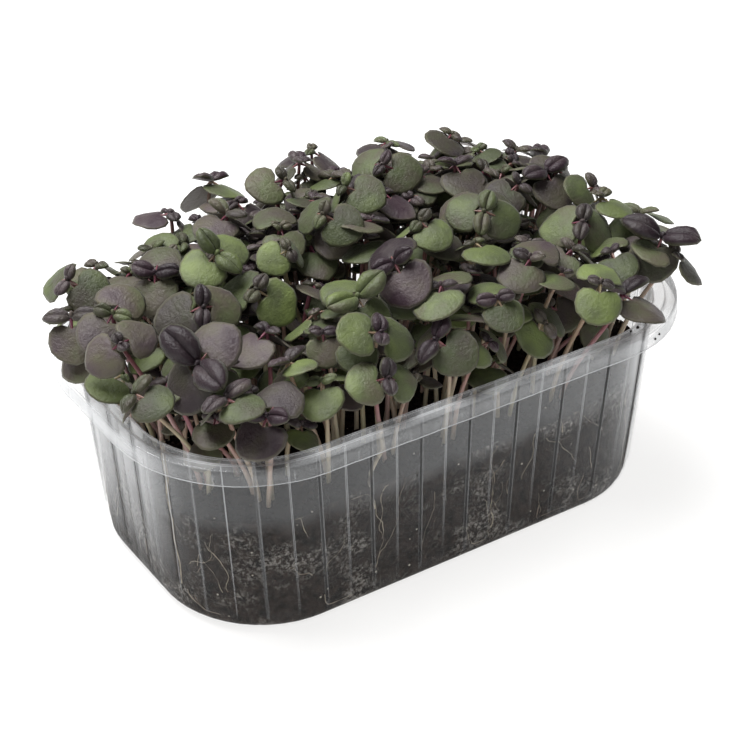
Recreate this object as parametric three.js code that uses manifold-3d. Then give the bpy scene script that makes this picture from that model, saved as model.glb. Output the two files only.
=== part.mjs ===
// Microgreens tray: purple basil seedlings standing in potting mix in a clear thermoformed punnet.
// Millimetres, +Z up. The origin is the centre of the punnet's underside and +X runs along its length.
import * as THREE from 'three';
import { mergeVertices } from 'three/addons/utils/BufferGeometryUtils.js';
import Module from 'manifold-3d';

// ---- driving dimensions ----------------------------------------------------------------------

// The punnet, over its rim, over its base and up its wall.
const RIM_LENGTH = 190;
const RIM_WIDTH = 116;
const RIM_CORNER = 43;
const PUNNET_HEIGHT = 65;
const BASE_LENGTH = 168;
const BASE_WIDTH = 99;
const BASE_CORNER = 35.5;
const BASE_FILLET = 5;
const SHEET = 0.8;

// The flat flange round the mouth and the lip turned down outside it.
const FLANGE_WIDTH = 7.2;
const LIP_DROP = 4.8;

// The pleats that stiffen the wall: panels that stand proud and set back in turn.
const PLEAT_DEPTH = 0.7;
const PLEATS_LONG_SIDE = 6;
const PLEATS_SHORT_SIDE = 2;
const PLEATS_CORNER = 3;
const PLEAT_STEP = 0.06;

// The potting mix and the holes that the stems stand in.
const SOIL_DEPTH = 41;
const SOIL_SWELL = 1.8;
const SOIL_GAP = 0.5;
const SOIL_POINTS = 28;
const SOIL_INNER_RINGS = [0.74, 0.4];
const HOLE_RADIUS = 5;
const HOLE_DEPTH = 12;
const HOLE_SIDES = 6;

// The bed that the seedlings stand in, over the punnet's base and a little inside its wall.
const BED_LENGTH = 166;
const BED_WIDTH = 97;
const BED_CORNER = 34.5;

// Where the seedlings stand, up to three to a hole: staggered rows of sites over the soil.
const ROWS = 6;
const ROW_PITCH = 15;
const SITE_PITCH = 20;
const SITE_JITTER = 1.6;
const SITE_EDGE = 8;
const SITES_ACROSS = 5;
const PER_SITE = 3;

// One seedling.
const STEM_SIDES = 4;
const STEM_STEPS = [0, 0.17, 0.58];
const STEM_FOOT_RADIUS = 0.95;
const STEM_HEAD_RADIUS = 0.8;
const HEAD_LENGTH = 1.2;
const STEM_SPACING = 1.9;
const ROOT_RADIUS = 3.3;
const ROOT_LENGTH = 7;
const STEM_UPRIGHT = 0.35;
const STEM_PULL = 0.3;
const SEED_LEAF_SAG = 0.16;
const SEED_LEAF_CUP = 0.1;
const TRUE_LEAF_SAG = 0.2;
const BLADE_THICKNESS = 0.7;
const PETIOLE = 0.27;
const HALF_GREEN = 0.42;
const HALF_PURPLE = 0.66;

// The rule that places the seedlings.
const SEED = 12;
const TRIES = 260;
const LATE_SHRINK = 0.35;
const LATE_DROP = 14;
const CLEARANCE = 3.4;
const PUNNET_CLEARANCE = 2.2;
const NEIGHBOUR_REACH = 70;
const SIBLING_REACH = 14;
const CANOPY_HEIGHT = 97;
const CANOPY_FALL = 11;
const FRONT_FALL = 9;
const SLACK_STEP = 0.03;
const SPREAD_X = 1.1;
const SPREAD_Y = 1.2;
const TAKEN = 0.9;

// Tints run from 0, leaf green, to 1, deep purple.
const TINT_COLOURS = { leaf_green: 0x5f7440, leaf_bronze: 0x5c5a4c, leaf_purple: 0x46343f };

// The seedlings that stand out, each with the place of its head, the turn of its seed leaves, how far
// and which way it nods, the width of its seed leaves, the length of its true leaves, and the tints of
// both. Lengths in millimetres and angles in degrees.
const MARKED = [
  [-74, -27, 86, -166, 40, -149, 15, 15, 0.75, 1.0],
  [-63, -45, 74, -148, 31, -151, 14, 8, 0.8, 1.0],
  [-44, -41, 77, -131, 14, 163, 12, 5, 0.2, 0.3],
  [-31, -48, 73, 174, 40, -75, 12, 7, 0.35, 0.95],
  [-24, -44, 82, 172, 36, -83, 13, 7, 0.2, 0.95],
  [-8, -44, 80, -81, 38, -175, 13, 9, 0.4, 0.9],
  [7, -48, 73, 8, 38, -52, 12, 4, 0.3, 0.8],
  [12, -41, 67, -148, 14, -59, 12, 3, 0.3, 0.3],
  [25, -44, 78, -179, 36, -73, 13, 6, 0.1, 0.7],
  [17, -36, 88, 160, 36, -134, 15, 12, 0.15, 0.15],
  [57, -48, 76, 105, 21, 75, 15, 12, 0.7, 0.85],
  [77, -41, 86, -140, 21, -95, 14, 14, 0.5, 1.0],
  [-8, -23, 95, 75, 38, -155, 15, 8, 0.95, 1.0],
  [-22, -25, 89, 95, 21, -104, 14, 12, 0.2, 0.3],
  [-45, -9, 91, 126, 30, -133, 14, 6, 0.15, 0.6],
  [-62, -10, 90, 177, 38, -81, 14, 7, 0.6, 0.95],
  [-88, -6, 76, 22, 21, -27, 13, 3, 0.0, 0.2],
  [-65, 14, 92, -130, 25, -141, 13, 8, 0.5, 0.95],
  [-84, 4, 88, 41, 30, -99, 14, 6, 0.65, 0.5],
  [-92, 14, 86, 63, 8, -143, 13, 9, 0.6, 0.7],
  [-90, -10, 83, -179, 40, -120, 12, 4, 0.7, 0.7],
  [-84, 32, 87, 113, 34, -172, 13, 6, 0.35, 0.8],
  [-74, 36, 88, 26, 4, -70, 12, 5, 0.4, 0.5],
  [-50, 5, 95, -149, 25, -91, 13, 10, 0.2, 0.15],
  [-31, -3, 97, 10, 40, -80, 10, 4, 0.1, 0.6],
  [-34, 27, 96, -154, 12, -6, 13, 8, 0.6, 0.6],
  [-10, 34, 98, -178, 36, -61, 13, 5, 0.5, 0.5],
  [-12, 8, 98, 108, 36, -164, 13, 5, 0.3, 0.4],
  [2, 18, 99, 115, 36, 180, 13, 5, 0.3, 0.3],
  [21, 26, 98, 121, 36, -160, 13, 5, 0.4, 0.9],
  [44, 20, 94, 85, 18, 84, 15, 8, 0.55, 0.9],
  [70, 7, 90, -89, 11, -101, 14, 10, 0.6, 0.9],
  [61, -23, 88, 139, 34, -118, 14, 7, 0.4, 0.8],
  [32, -12, 95, 134, 34, -113, 13, 8, 0.3, 0.4],
  [81, -4, 86, -180, 40, -64, 12, 6, 0.35, 0.7],
  [50, -32, 86, -171, 11, -89, 13, 5, 0.5, 0.6],
  [10, -10, 97, 100, 15, -159, 12, 5, 0.3, 0.4],
  [54, 0, 93, -165, 23, -52, 13, 5, 0.6, 0.8],
];

const RAD = Math.PI / 180;
const wasm = await Module();
wasm.setup();

// ---- solids ----------------------------------------------------------------------------------

// A closed mesh from a list of [x, y, z] points and a list of triangles.
function solidGeometry(points, faces) {
  const geometry = new THREE.BufferGeometry();
  geometry.setAttribute('position', new THREE.Float32BufferAttribute(points.flat(), 3));
  geometry.setIndex(faces.flat());
  return geometry;
}

function toManifold(geometry) {
  const bare = geometry.clone();
  bare.deleteAttribute('normal');
  bare.deleteAttribute('uv');
  const merged = mergeVertices(bare, 1e-5);
  return new wasm.Manifold(new wasm.Mesh({
    numProp: 3,
    vertProperties: Float32Array.from(merged.attributes.position.array),
    triVerts: Uint32Array.from(merged.index.array),
  }));
}

function toGeometry(manifold) {
  const mesh = manifold.getMesh();
  const geometry = new THREE.BufferGeometry();
  geometry.setAttribute('position', new THREE.Float32BufferAttribute(mesh.vertProperties, 3));
  geometry.setIndex(Array.from(mesh.triVerts));
  return geometry;
}

// Joins two rings of points, the second with as many points as the first or half as many.
function stitch(faces, first, firstCount, second, secondCount) {
  const ratio = firstCount / secondCount;
  for (let i = 0; i < secondCount; i += 1) {
    const a = second + i;
    const b = second + (i + 1) % secondCount;
    for (let k = 0; k < ratio; k += 1) {
      const c = first + i * ratio + k;
      const d = first + (i * ratio + k + 1) % firstCount;
      faces.push([k === 0 ? a : b, c, d]);
      if (k === 0) {
        faces.push([a, d, b]);
      }
    }
  }
}

// Fills a ring with a fan about one of its points.
function cap(faces, start, count, flip) {
  for (let i = 1; i < count - 1; i += 1) {
    faces.push(flip ? [start, start + i + 1, start + i] : [start, start + i, start + i + 1]);
  }
}

// ---- the punnet ------------------------------------------------------------------------------

// Places round a rounded rectangle, with four to a pleat: each has its share of a straight side or its
// angle on a corner, and whether it stands on a proud panel.
function pleatPlaces() {
  const places = [];
  const sides = [PLEATS_LONG_SIDE, PLEATS_SHORT_SIDE, PLEATS_LONG_SIDE, PLEATS_SHORT_SIDE];
  const shares = [0, PLEAT_STEP, 0.5, 0.5 + PLEAT_STEP];
  sides.forEach(function (pleats, side) {
    for (const [corner, count] of [[false, pleats], [true, PLEATS_CORNER]]) {
      for (let pleat = 0; pleat < count; pleat += 1) {
        shares.forEach(function (share, k) {
          places.push({ side, corner, share: (pleat + share) / count, proud: k === 1 || k === 2 });
        });
      }
    }
  });
  return places;
}

const PLACES = pleatPlaces();

// One ring of the punnet: a rounded rectangle, counted anticlockwise from above, pushed out by
// pleatDepth where a panel stands proud. Every stride-th place is used.
function ring(length, width, corner, z, pleatDepth, stride) {
  const points = [];
  const straightX = length / 2 - corner;
  const straightY = width / 2 - corner;
  for (let i = 0; i < PLACES.length; i += stride) {
    const place = PLACES[i];
    const along = place.side % 2 === 0 ? straightX : straightY;
    const across = place.side % 2 === 0 ? straightY : straightX;
    const reach = corner + (place.proud ? pleatDepth : 0);
    const angle = place.corner ? place.share * Math.PI / 2 : 0;
    const x = (place.corner ? along : (2 * place.share - 1) * along) + reach * Math.sin(angle);
    const y = -across - reach * Math.cos(angle);
    const turn = place.side * Math.PI / 2;
    points.push([
      x * Math.cos(turn) - y * Math.sin(turn),
      x * Math.sin(turn) + y * Math.cos(turn),
      z,
    ]);
  }
  return points;
}

const WALL_TOP = PUNNET_HEIGHT - SHEET;
const WALL_LENGTH = RIM_LENGTH - 2 * FLANGE_WIDTH;
const WALL_WIDTH = RIM_WIDTH - 2 * FLANGE_WIDTH;
const WALL_CORNER = RIM_CORNER - FLANGE_WIDTH;

// A ring of the flange or lip, inset from the rim's outermost line.
function rimRing(inset, z) {
  return ring(RIM_LENGTH - 2 * inset, RIM_WIDTH - 2 * inset, RIM_CORNER - inset, z, 0, 2);
}

// A ring of the wall's foot or top, inset from the wall's outer face.
function wallRing(length, width, corner, inset, z, pleated) {
  const depth = pleated ? PLEAT_DEPTH : 0;
  const hold = inset + PLEAT_DEPTH;
  return ring(length - 2 * hold, width - 2 * hold, corner - hold, z, depth, pleated ? 1 : 2);
}

// The sheet: up its outer face, out round the flange, down and up the lip, and down its inner face.
function punnetGeometry() {
  const lipFoot = PUNNET_HEIGHT - LIP_DROP;
  const rings = [
    wallRing(BASE_LENGTH, BASE_WIDTH, BASE_CORNER, BASE_FILLET, 0, false),
    wallRing(BASE_LENGTH, BASE_WIDTH, BASE_CORNER, 0, BASE_FILLET, true),
    wallRing(WALL_LENGTH, WALL_WIDTH, WALL_CORNER, 0, WALL_TOP, true),
    rimRing(1.5 * SHEET, WALL_TOP),
    rimRing(SHEET, lipFoot),
    rimRing(0, lipFoot),
    rimRing(SHEET / 2, PUNNET_HEIGHT),
    wallRing(WALL_LENGTH, WALL_WIDTH, WALL_CORNER, SHEET, PUNNET_HEIGHT, true),
    wallRing(BASE_LENGTH, BASE_WIDTH, BASE_CORNER, SHEET, BASE_FILLET + SHEET, true),
    wallRing(BASE_LENGTH, BASE_WIDTH, BASE_CORNER, BASE_FILLET + SHEET, SHEET, false),
  ];
  const faces = [];
  const starts = [];
  const points = [];
  for (const row of rings) {
    starts.push(points.length);
    points.push(...row);
  }
  cap(faces, starts[0], rings[0].length, true);
  for (let i = 0; i + 1 < rings.length; i += 1) {
    const here = rings[i].length;
    const next = rings[i + 1].length;
    if (here >= next) {
      const strip = [];
      stitch(strip, starts[i], here, starts[i + 1], next);
      faces.push(...strip);
    } else {
      const strip = [];
      stitch(strip, starts[i + 1], next, starts[i], here);
      faces.push(...strip.map(([a, b, c]) => [a, c, b]));
    }
  }
  const last = rings.length - 1;
  cap(faces, starts[last], rings[last].length, false);
  return solidGeometry(points, faces);
}

// ---- the soil --------------------------------------------------------------------------------

// How high the soil stands at a point: shallow swells over its mean depth.
function soilTop(x, y) {
  const long = Math.sin(0.05 * x + 0.6) * Math.cos(0.07 * y - 0.3);
  const short = Math.sin(0.13 * x - 0.11 * y + 1.0);
  return SOIL_DEPTH + SOIL_SWELL * (0.8 * long + 0.4 * short) + 0.012 * x;
}

// The soil's outline at a height, inside the set-back panels of the wall.
function soilRing(z, inset) {
  const rise = (z - BASE_FILLET) / (WALL_TOP - BASE_FILLET);
  const hold = SHEET + PLEAT_DEPTH + SOIL_GAP + inset;
  const length = BASE_LENGTH + (WALL_LENGTH - BASE_LENGTH) * rise - 2 * hold;
  const width = BASE_WIDTH + (WALL_WIDTH - BASE_WIDTH) * rise - 2 * hold;
  const corner = BASE_CORNER + (WALL_CORNER - BASE_CORNER) * rise - hold;
  return ring(length, width, corner, z, 0, PLACES.length / SOIL_POINTS);
}

// The block of soil, with a plain hole at each site.
function soilGeometry(sites) {
  const floor = SHEET + SOIL_GAP;
  const edge = soilRing(SOIL_DEPTH, 0);
  const rows = [
    soilRing(floor, BASE_FILLET + SHEET),
    soilRing(floor + BASE_FILLET, 0),
    edge.map(([x, y]) => [x, y, soilTop(x, y)]),
  ];
  for (const share of SOIL_INNER_RINGS) {
    rows.push(edge.map(([x, y]) => [x * share, y * share, soilTop(x * share, y * share)]));
  }
  const points = rows.flat();
  const faces = [];
  cap(faces, 0, SOIL_POINTS, true);
  for (let i = 0; i + 1 < rows.length; i += 1) {
    stitch(faces, i * SOIL_POINTS, SOIL_POINTS, (i + 1) * SOIL_POINTS, SOIL_POINTS);
  }
  const last = (rows.length - 1) * SOIL_POINTS;
  const middle = points.push([0, 0, soilTop(0, 0)]) - 1;
  for (let i = 0; i < SOIL_POINTS; i += 1) {
    faces.push([last + i, last + (i + 1) % SOIL_POINTS, middle]);
  }
  let soil = toManifold(solidGeometry(points, faces));
  for (const site of sites) {
    const foot = soilTop(site.x, site.y) - HOLE_DEPTH;
    const hole = new THREE.CylinderGeometry(HOLE_RADIUS, HOLE_RADIUS, 2 * HOLE_DEPTH, HOLE_SIDES);
    hole.rotateX(Math.PI / 2);
    hole.translate(site.x, site.y, foot + HOLE_DEPTH);
    soil = soil.subtract(toManifold(hole));
  }
  return toGeometry(soil);
}

// ---- the placing rule ------------------------------------------------------------------------

// A repeatable draw between 0 and 1.
function makeDraw(seed) {
  let state = seed;
  return function () {
    state = (state * 16807) % 2147483647;
    return state / 2147483647;
  };
}

const draw = makeDraw(SEED);

function between(low, high) {
  return low + (high - low) * draw();
}

// Distance from a point to a rounded rectangle about the origin, negative inside it.
function outside(x, y, length, width, corner) {
  const dx = Math.abs(x) - (length / 2 - corner);
  const dy = Math.abs(y) - (width / 2 - corner);
  const ox = Math.max(dx, 0);
  const oy = Math.max(dy, 0);
  return Math.sqrt(ox * ox + oy * oy) + Math.min(Math.max(dx, dy), 0) - corner;
}

// Staggered rows of sites, each a little off its place, over the flat of the punnet's base.
function makeSites() {
  const sites = [];
  for (let row = 0; row < ROWS; row += 1) {
    const y = (row - (ROWS - 1) / 2) * ROW_PITCH;
    const shift = row % 2 === 0 ? 0 : SITE_PITCH / 2;
    for (let column = -SITES_ACROSS; column <= SITES_ACROSS; column += 1) {
      const x = column * SITE_PITCH + shift;
      const site = {
        x: x + between(-SITE_JITTER, SITE_JITTER),
        y: y + between(-SITE_JITTER, SITE_JITTER),
        plans: [],
      };
      if (outside(site.x, site.y, BED_LENGTH, BED_WIDTH, BED_CORNER) < -SITE_EDGE) {
        sites.push(site);
      }
    }
  }
  return sites;
}

// The directions of a nodding head: a level direction at an angle, carried over with the nod.
function headDirection(plan, angle) {
  const tilt = plan.tilt * RAD;
  const toward = plan.toward * RAD;
  const dx = Math.cos(angle * RAD);
  const dy = Math.sin(angle * RAD);
  const mx = Math.cos(toward);
  const my = Math.sin(toward);
  const share = dx * mx + dy * my;
  const level = share * (Math.cos(tilt) - 1);
  return [dx + level * mx, dy + level * my, -share * Math.sin(tilt)];
}

// The way that a nodding head faces.
function headAxis(plan) {
  const tilt = plan.tilt * RAD;
  const toward = plan.toward * RAD;
  return [Math.sin(tilt) * Math.cos(toward), Math.sin(tilt) * Math.sin(toward), Math.cos(tilt)];
}

// The four guide points of a stem: up out of its hole, bowed, and into the head along its axis.
function stemGuide(plan) {
  const axis = headAxis(plan);
  const foot = soilTop(plan.foot[0], plan.foot[1]);
  const rise = plan.head[2] - foot;
  const start = foot - HOLE_DEPTH + ROOT_LENGTH / 2 + 1;
  const bowX = plan.bow * Math.cos(plan.bowTurn * RAD);
  const bowY = plan.bow * Math.sin(plan.bowTurn * RAD);
  const pull = STEM_PULL * rise;
  return [
    [plan.foot[0], plan.foot[1], start],
    [plan.foot[0], plan.foot[1], foot + STEM_UPRIGHT * rise],
    [
      plan.head[0] - axis[0] * pull + bowX,
      plan.head[1] - axis[1] * pull + bowY,
      plan.head[2] - axis[2] * pull,
    ],
    plan.head,
  ];
}

// A point of a stem, t running from its foot to its head.
function onStem(guide, t) {
  const s = 1 - t;
  const weights = [s * s * s, 3 * s * s * t, 3 * s * t * t, t * t * t];
  return [0, 1, 2].map((k) => weights.reduce((sum, weight, i) => sum + weight * guide[i][k], 0));
}

// The leaves of a seedling in order round its head: two seed leaves opposite each other and two true
// leaves across them.
function leavesOf(plan) {
  return [0, 90, 180, 270].map(function (way, index) {
    const seedLeaf = index % 2 === 0;
    return {
      seedLeaf,
      turn: plan.turn + way + (seedLeaf ? 0 : plan.twist),
      length: seedLeaf ? plan.seedWidth * 0.98 : plan.leafLength,
      width: seedLeaf ? plan.seedWidth : plan.leafLength * 0.5 + 1.4,
      lift: plan.lifts[index],
      sag: seedLeaf ? SEED_LEAF_SAG : TRUE_LEAF_SAG,
      cup: seedLeaf ? SEED_LEAF_CUP : 0,
    };
  });
}

// A point of a leaf: u runs from the stem to the tip, v from one edge to the other, and rise stands
// off the blade.
function onLeaf(plan, leaf, u, v, rise) {
  const out = headDirection(plan, leaf.turn);
  const side = headDirection(plan, leaf.turn + 90);
  const axis = headAxis(plan);
  const along = u * leaf.length;
  const across = v * leaf.width / 2;
  const lift = leaf.lift * RAD;
  const o = along * Math.cos(lift) - rise * Math.sin(lift);
  const up = along * Math.sin(lift) + rise * Math.cos(lift)
    - leaf.sag * u * u * leaf.length - leaf.cup * v * v * leaf.width;
  return [0, 1, 2].map((k) => plan.head[k] + out[k] * o + side[k] * across + axis[k] * up);
}

const SEED_LEAF_GUARDS = [
  [0.15, 0], [0.4, -0.66], [0.4, -0.22], [0.4, 0.22], [0.4, 0.66],
  [0.62, -0.78], [0.62, -0.26], [0.62, 0.26], [0.62, 0.78],
  [0.84, -0.62], [0.84, -0.2], [0.84, 0.2], [0.84, 0.62],
];
const TRUE_LEAF_GUARDS = [[0.2, 0], [0.45, -0.45], [0.45, 0.45], [0.72, -0.4], [0.72, 0.4], [0.95, 0]];
const STEM_GUARDS = 20;
const FIRST_STEM_GUARD = 4;

// Points all over a seedling that must keep clear of every other seedling's.
function guardPoints(plan) {
  const guards = [];
  const guide = stemGuide(plan);
  for (let i = FIRST_STEM_GUARD; i <= STEM_GUARDS; i += 1) {
    guards.push(onStem(guide, i / STEM_GUARDS));
  }
  for (const leaf of leavesOf(plan)) {
    for (const [u, v] of leaf.seedLeaf ? SEED_LEAF_GUARDS : TRUE_LEAF_GUARDS) {
      guards.push(onLeaf(plan, leaf, u, v, 0));
    }
  }
  return guards;
}

// Whether a point keeps off the punnet: inside the wall, or well above the rim.
function clearOfPunnet(point) {
  if (point[2] > PUNNET_HEIGHT + PUNNET_CLEARANCE) {
    return true;
  }
  const rise = (point[2] - BASE_FILLET) / (WALL_TOP - BASE_FILLET);
  const length = BED_LENGTH + (WALL_LENGTH - BED_LENGTH) * rise;
  const width = BED_WIDTH + (WALL_WIDTH - BED_WIDTH) * rise;
  return outside(point[0], point[1], length, width, BED_CORNER) < -(SHEET + PLEAT_DEPTH + PUNNET_CLEARANCE);
}

// Every seedling placed so far, with its site and its guard points.
const placed = [];

// Whether a seedling keeps off the punnet and off all that stand already. Two of one site may meet low
// down, where they share a root.
function isClear(guards, siteIndex) {
  for (const point of guards) {
    if (!clearOfPunnet(point)) {
      return false;
    }
  }
  for (const other of placed) {
    const sibling = other.siteIndex === siteIndex;
    const dx = guards[0][0] - other.guards[0][0];
    const dy = guards[0][1] - other.guards[0][1];
    if (dx * dx + dy * dy > NEIGHBOUR_REACH * NEIGHBOUR_REACH) {
      continue;
    }
    for (const a of guards) {
      if (sibling && a[2] < SOIL_DEPTH + SIBLING_REACH) {
        continue;
      }
      for (const b of other.guards) {
        const ex = a[0] - b[0];
        const ey = a[1] - b[1];
        const ez = a[2] - b[2];
        if (ex * ex + ey * ey + ez * ez < CLEARANCE * CLEARANCE) {
          return false;
        }
      }
    }
  }
  return true;
}

// The free side of a site's root nearest to the way that a seedling leans.
function freeWay(site, lean) {
  if (site.plans.length === 0) {
    return lean;
  }
  let best = null;
  for (let k = 1; k < PER_SITE; k += 1) {
    const way = site.plans[0].way + k * 2 * Math.PI / PER_SITE;
    const taken = site.plans.some((plan) => Math.cos(plan.way - way) > TAKEN);
    if (!taken && (best === null || Math.cos(way - lean) > Math.cos(best - lean))) {
      best = way;
    }
  }
  return best;
}

// Tries plans for a site until one is clear of all that stand already.
function settle(site, siteIndex, suggest) {
  for (let attempt = 0; attempt < TRIES; attempt += 1) {
    const plan = suggest(attempt);
    plan.way = freeWay(site, Math.atan2(plan.head[1] - site.y, plan.head[0] - site.x));
    plan.foot = [site.x + STEM_SPACING * Math.cos(plan.way), site.y + STEM_SPACING * Math.sin(plan.way)];
    const guards = guardPoints(plan);
    if (isClear(guards, siteIndex)) {
      site.plans.push(plan);
      placed.push({ siteIndex, guards });
      return true;
    }
  }
  return false;
}

// The small differences that every seedling draws for itself.
function drawHabit() {
  return {
    bow: between(0, 5),
    bowTurn: between(0, 360),
    lifts: [between(-38, 2), between(8, 40), between(-38, 2), between(8, 40)],
    twist: between(-12, 12),
  };
}

// A seedling that stands out: the later the try, the further it strays from its row's figures.
function markedPlan(row, attempt) {
  const slack = SLACK_STEP * attempt;
  return {
    ...drawHabit(),
    head: [
      row[0] + slack * between(-1, 1),
      row[1] + slack * between(-1, 1),
      row[2] + 1.5 * slack * between(-1, 1),
    ],
    turn: row[3] + 4 * slack * between(-1, 1),
    tilt: row[4],
    toward: row[5],
    seedWidth: row[6],
    leafLength: row[7],
    seedTint: row[8],
    leafTint: row[9],
  };
}

// The height of the canopy: highest in the middle, lower towards both ends and the front.
function canopyTop(x, y) {
  const front = Math.max(0, -y / 50 - 0.3);
  return CANOPY_HEIGHT - CANOPY_FALL * (x / 90) * (x / 90) - FRONT_FALL * front;
}

// Any other seedling. The later the try, the smaller it is and the lower it stands.
function commonPlan(site, attempt) {
  const late = attempt / TRIES;
  const size = 1 - LATE_SHRINK * late;
  const habit = drawHabit();
  const reach = between(2, 15);
  const way = between(0, 360) * RAD;
  const x = SPREAD_X * site.x + reach * Math.cos(way);
  const y = SPREAD_Y * site.y + reach * Math.sin(way);
  const depth = draw();
  const tint = draw();
  return {
    ...habit,
    head: [x, y, canopyTop(x, y) - 2 - (18 + LATE_DROP * late) * depth * depth],
    turn: between(0, 360),
    tilt: between(4, 30),
    toward: way / RAD,
    seedWidth: size * between(12.5, 15),
    leafLength: size * (4.5 + 7 * draw() * draw()),
    seedTint: 0.1 + 0.8 * tint,
    leafTint: 0.35 + 0.65 * draw(),
  };
}

// Plants the seedlings that stand out at the sites nearest to them, then fills the other places.
function plantSites() {
  const sites = makeSites();
  for (const row of MARKED) {
    let best = null;
    sites.forEach(function (site, index) {
      const dx = site.x - row[0] / SPREAD_X;
      const dy = site.y - row[1] / SPREAD_Y;
      const far = dx * dx + dy * dy;
      if (site.plans.length < PER_SITE && (best === null || far < best.far)) {
        best = { site, index, far };
      }
    });
    settle(best.site, best.index, (attempt) => markedPlan(row, attempt));
  }
  sites.forEach(function (site, index) {
    let settled = true;
    while (settled && site.plans.length < PER_SITE) {
      settled = settle(site, index, (attempt) => commonPlan(site, attempt));
    }
  });
  return sites.filter((site) => site.plans.length > 0);
}

// ---- the seedlings ---------------------------------------------------------------------------

// A seed leaf's outline along one edge of its stalk, round its broad blade and back.
const SEED_LEAF_OUTLINE = [
  [PETIOLE, -0.12], [0.42, -0.95], [0.9, -0.66], [0.9, 0.66], [0.42, 0.95], [PETIOLE, 0.12],
];
const SEED_LEAF_MIDDLE = 0.6;

// Adds a seed leaf to a seedling, from one side of its head segment. The blade is a slab, split alike
// on both faces.
function addSeedLeaf(points, faces, plan, leaf, corners) {
  const count = SEED_LEAF_OUTLINE.length + 2;
  const top = [corners.upperStart];
  const under = [corners.lowerStart];
  for (const [u, v] of SEED_LEAF_OUTLINE) {
    top.push(points.push(onLeaf(plan, leaf, u, v, BLADE_THICKNESS / 2)) - 1);
    under.push(points.push(onLeaf(plan, leaf, u, v, -BLADE_THICKNESS / 2)) - 1);
  }
  top.push(corners.upperEnd);
  under.push(corners.lowerEnd);
  const topMiddle = points.push(onLeaf(plan, leaf, SEED_LEAF_MIDDLE, 0, BLADE_THICKNESS / 2)) - 1;
  const underMiddle = points.push(onLeaf(plan, leaf, SEED_LEAF_MIDDLE, 0, -BLADE_THICKNESS / 2)) - 1;
  for (let i = 0; i < count; i += 1) {
    const next = (i + 1) % count;
    faces.push([topMiddle, top[i], top[next]]);
    faces.push([underMiddle, under[next], under[i]]);
    if (next > 0) {
      faces.push([top[i], under[i], under[next]]);
      faces.push([top[i], under[next], top[next]]);
    }
  }
}

// Adds a true leaf: two full cheeks either side of a sunk midrib, over a keeled underside.
function addTrueLeaf(points, faces, plan, leaf, corners) {
  const plump = 0.2 * leaf.width;
  const add = (u, v, rise) => points.push(onLeaf(plan, leaf, u, v, rise)) - 1;
  const left = add(0.45, -0.92, 0);
  const tip = add(1, 0, 0);
  const right = add(0.45, 0.92, 0);
  const leftCheek = add(0.52, -0.46, plump);
  const rightCheek = add(0.52, 0.46, plump);
  const midrib = add(0.55, 0, 0.2 * plump);
  const keel = add(0.5, 0, -0.6 * plump - 0.3);
  const { upperStart, upperEnd, lowerStart, lowerEnd } = corners;
  faces.push(
    [upperStart, left, leftCheek], [left, tip, leftCheek], [leftCheek, tip, midrib],
    [upperStart, leftCheek, midrib], [midrib, tip, rightCheek], [rightCheek, tip, right],
    [right, upperEnd, rightCheek], [rightCheek, upperEnd, midrib], [upperStart, midrib, upperEnd],
    [keel, left, lowerStart], [keel, tip, left], [keel, right, tip],
    [keel, lowerEnd, right], [keel, lowerStart, lowerEnd],
    [upperStart, lowerStart, left], [upperEnd, right, lowerEnd],
  );
}

// A seedling: a square stem whose last segment is the head, with a leaf on each of its four sides.
function seedlingSolid(plan) {
  const guide = stemGuide(plan);
  const axis = headAxis(plan);
  const points = [];
  const faces = [];
  const rows = STEM_STEPS.map((t) => onStem(guide, t));
  for (const end of [-HEAD_LENGTH / 2, HEAD_LENGTH / 2]) {
    rows.push(plan.head.map((value, k) => value + axis[k] * end));
  }
  rows.forEach(function (centre, row) {
    const share = Math.min(row / (rows.length - 2), 1);
    const radius = STEM_FOOT_RADIUS + (STEM_HEAD_RADIUS - STEM_FOOT_RADIUS) * share;
    const bent = { tilt: plan.tilt * share, toward: plan.toward };
    for (let k = 0; k < STEM_SIDES; k += 1) {
      const way = headDirection(bent, plan.turn + (k - 0.5) * 360 / STEM_SIDES);
      points.push(centre.map((value, index) => value + way[index] * radius));
    }
  });
  cap(faces, 0, STEM_SIDES, true);
  for (let row = 0; row + 2 < rows.length; row += 1) {
    stitch(faces, row * STEM_SIDES, STEM_SIDES, (row + 1) * STEM_SIDES, STEM_SIDES);
  }
  const lower = (rows.length - 2) * STEM_SIDES;
  const upper = lower + STEM_SIDES;
  cap(faces, upper, STEM_SIDES, false);
  leavesOf(plan).forEach(function (leaf, side) {
    const next = (side + 1) % STEM_SIDES;
    const corners = {
      lowerStart: lower + side,
      lowerEnd: lower + next,
      upperStart: upper + side,
      upperEnd: upper + next,
    };
    const add = leaf.seedLeaf ? addSeedLeaf : addTrueLeaf;
    add(points, faces, plan, leaf, corners);
  });
  return toManifold(solidGeometry(points, faces));
}

// The knot of root that a site's stems share at the bottom of their hole.
function rootSolid(site) {
  const middle = soilTop(site.x, site.y) - HOLE_DEPTH + ROOT_LENGTH / 2 + 0.5;
  const knot = new THREE.OctahedronGeometry(1);
  knot.scale(ROOT_RADIUS, ROOT_RADIUS, ROOT_LENGTH / 2);
  knot.translate(site.x, site.y, middle);
  return toManifold(knot);
}

// All the seedlings of a site with their root, as one body.
function seedlingsGeometry(site) {
  const solids = [rootSolid(site)];
  for (const plan of site.plans) {
    solids.push(seedlingSolid(plan));
  }
  const joined = solids.reduce((whole, solid) => whole.add(solid));
  const bodies = joined.decompose().sort((a, b) => b.volume() - a.volume());
  return toGeometry(bodies[0]);
}

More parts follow.
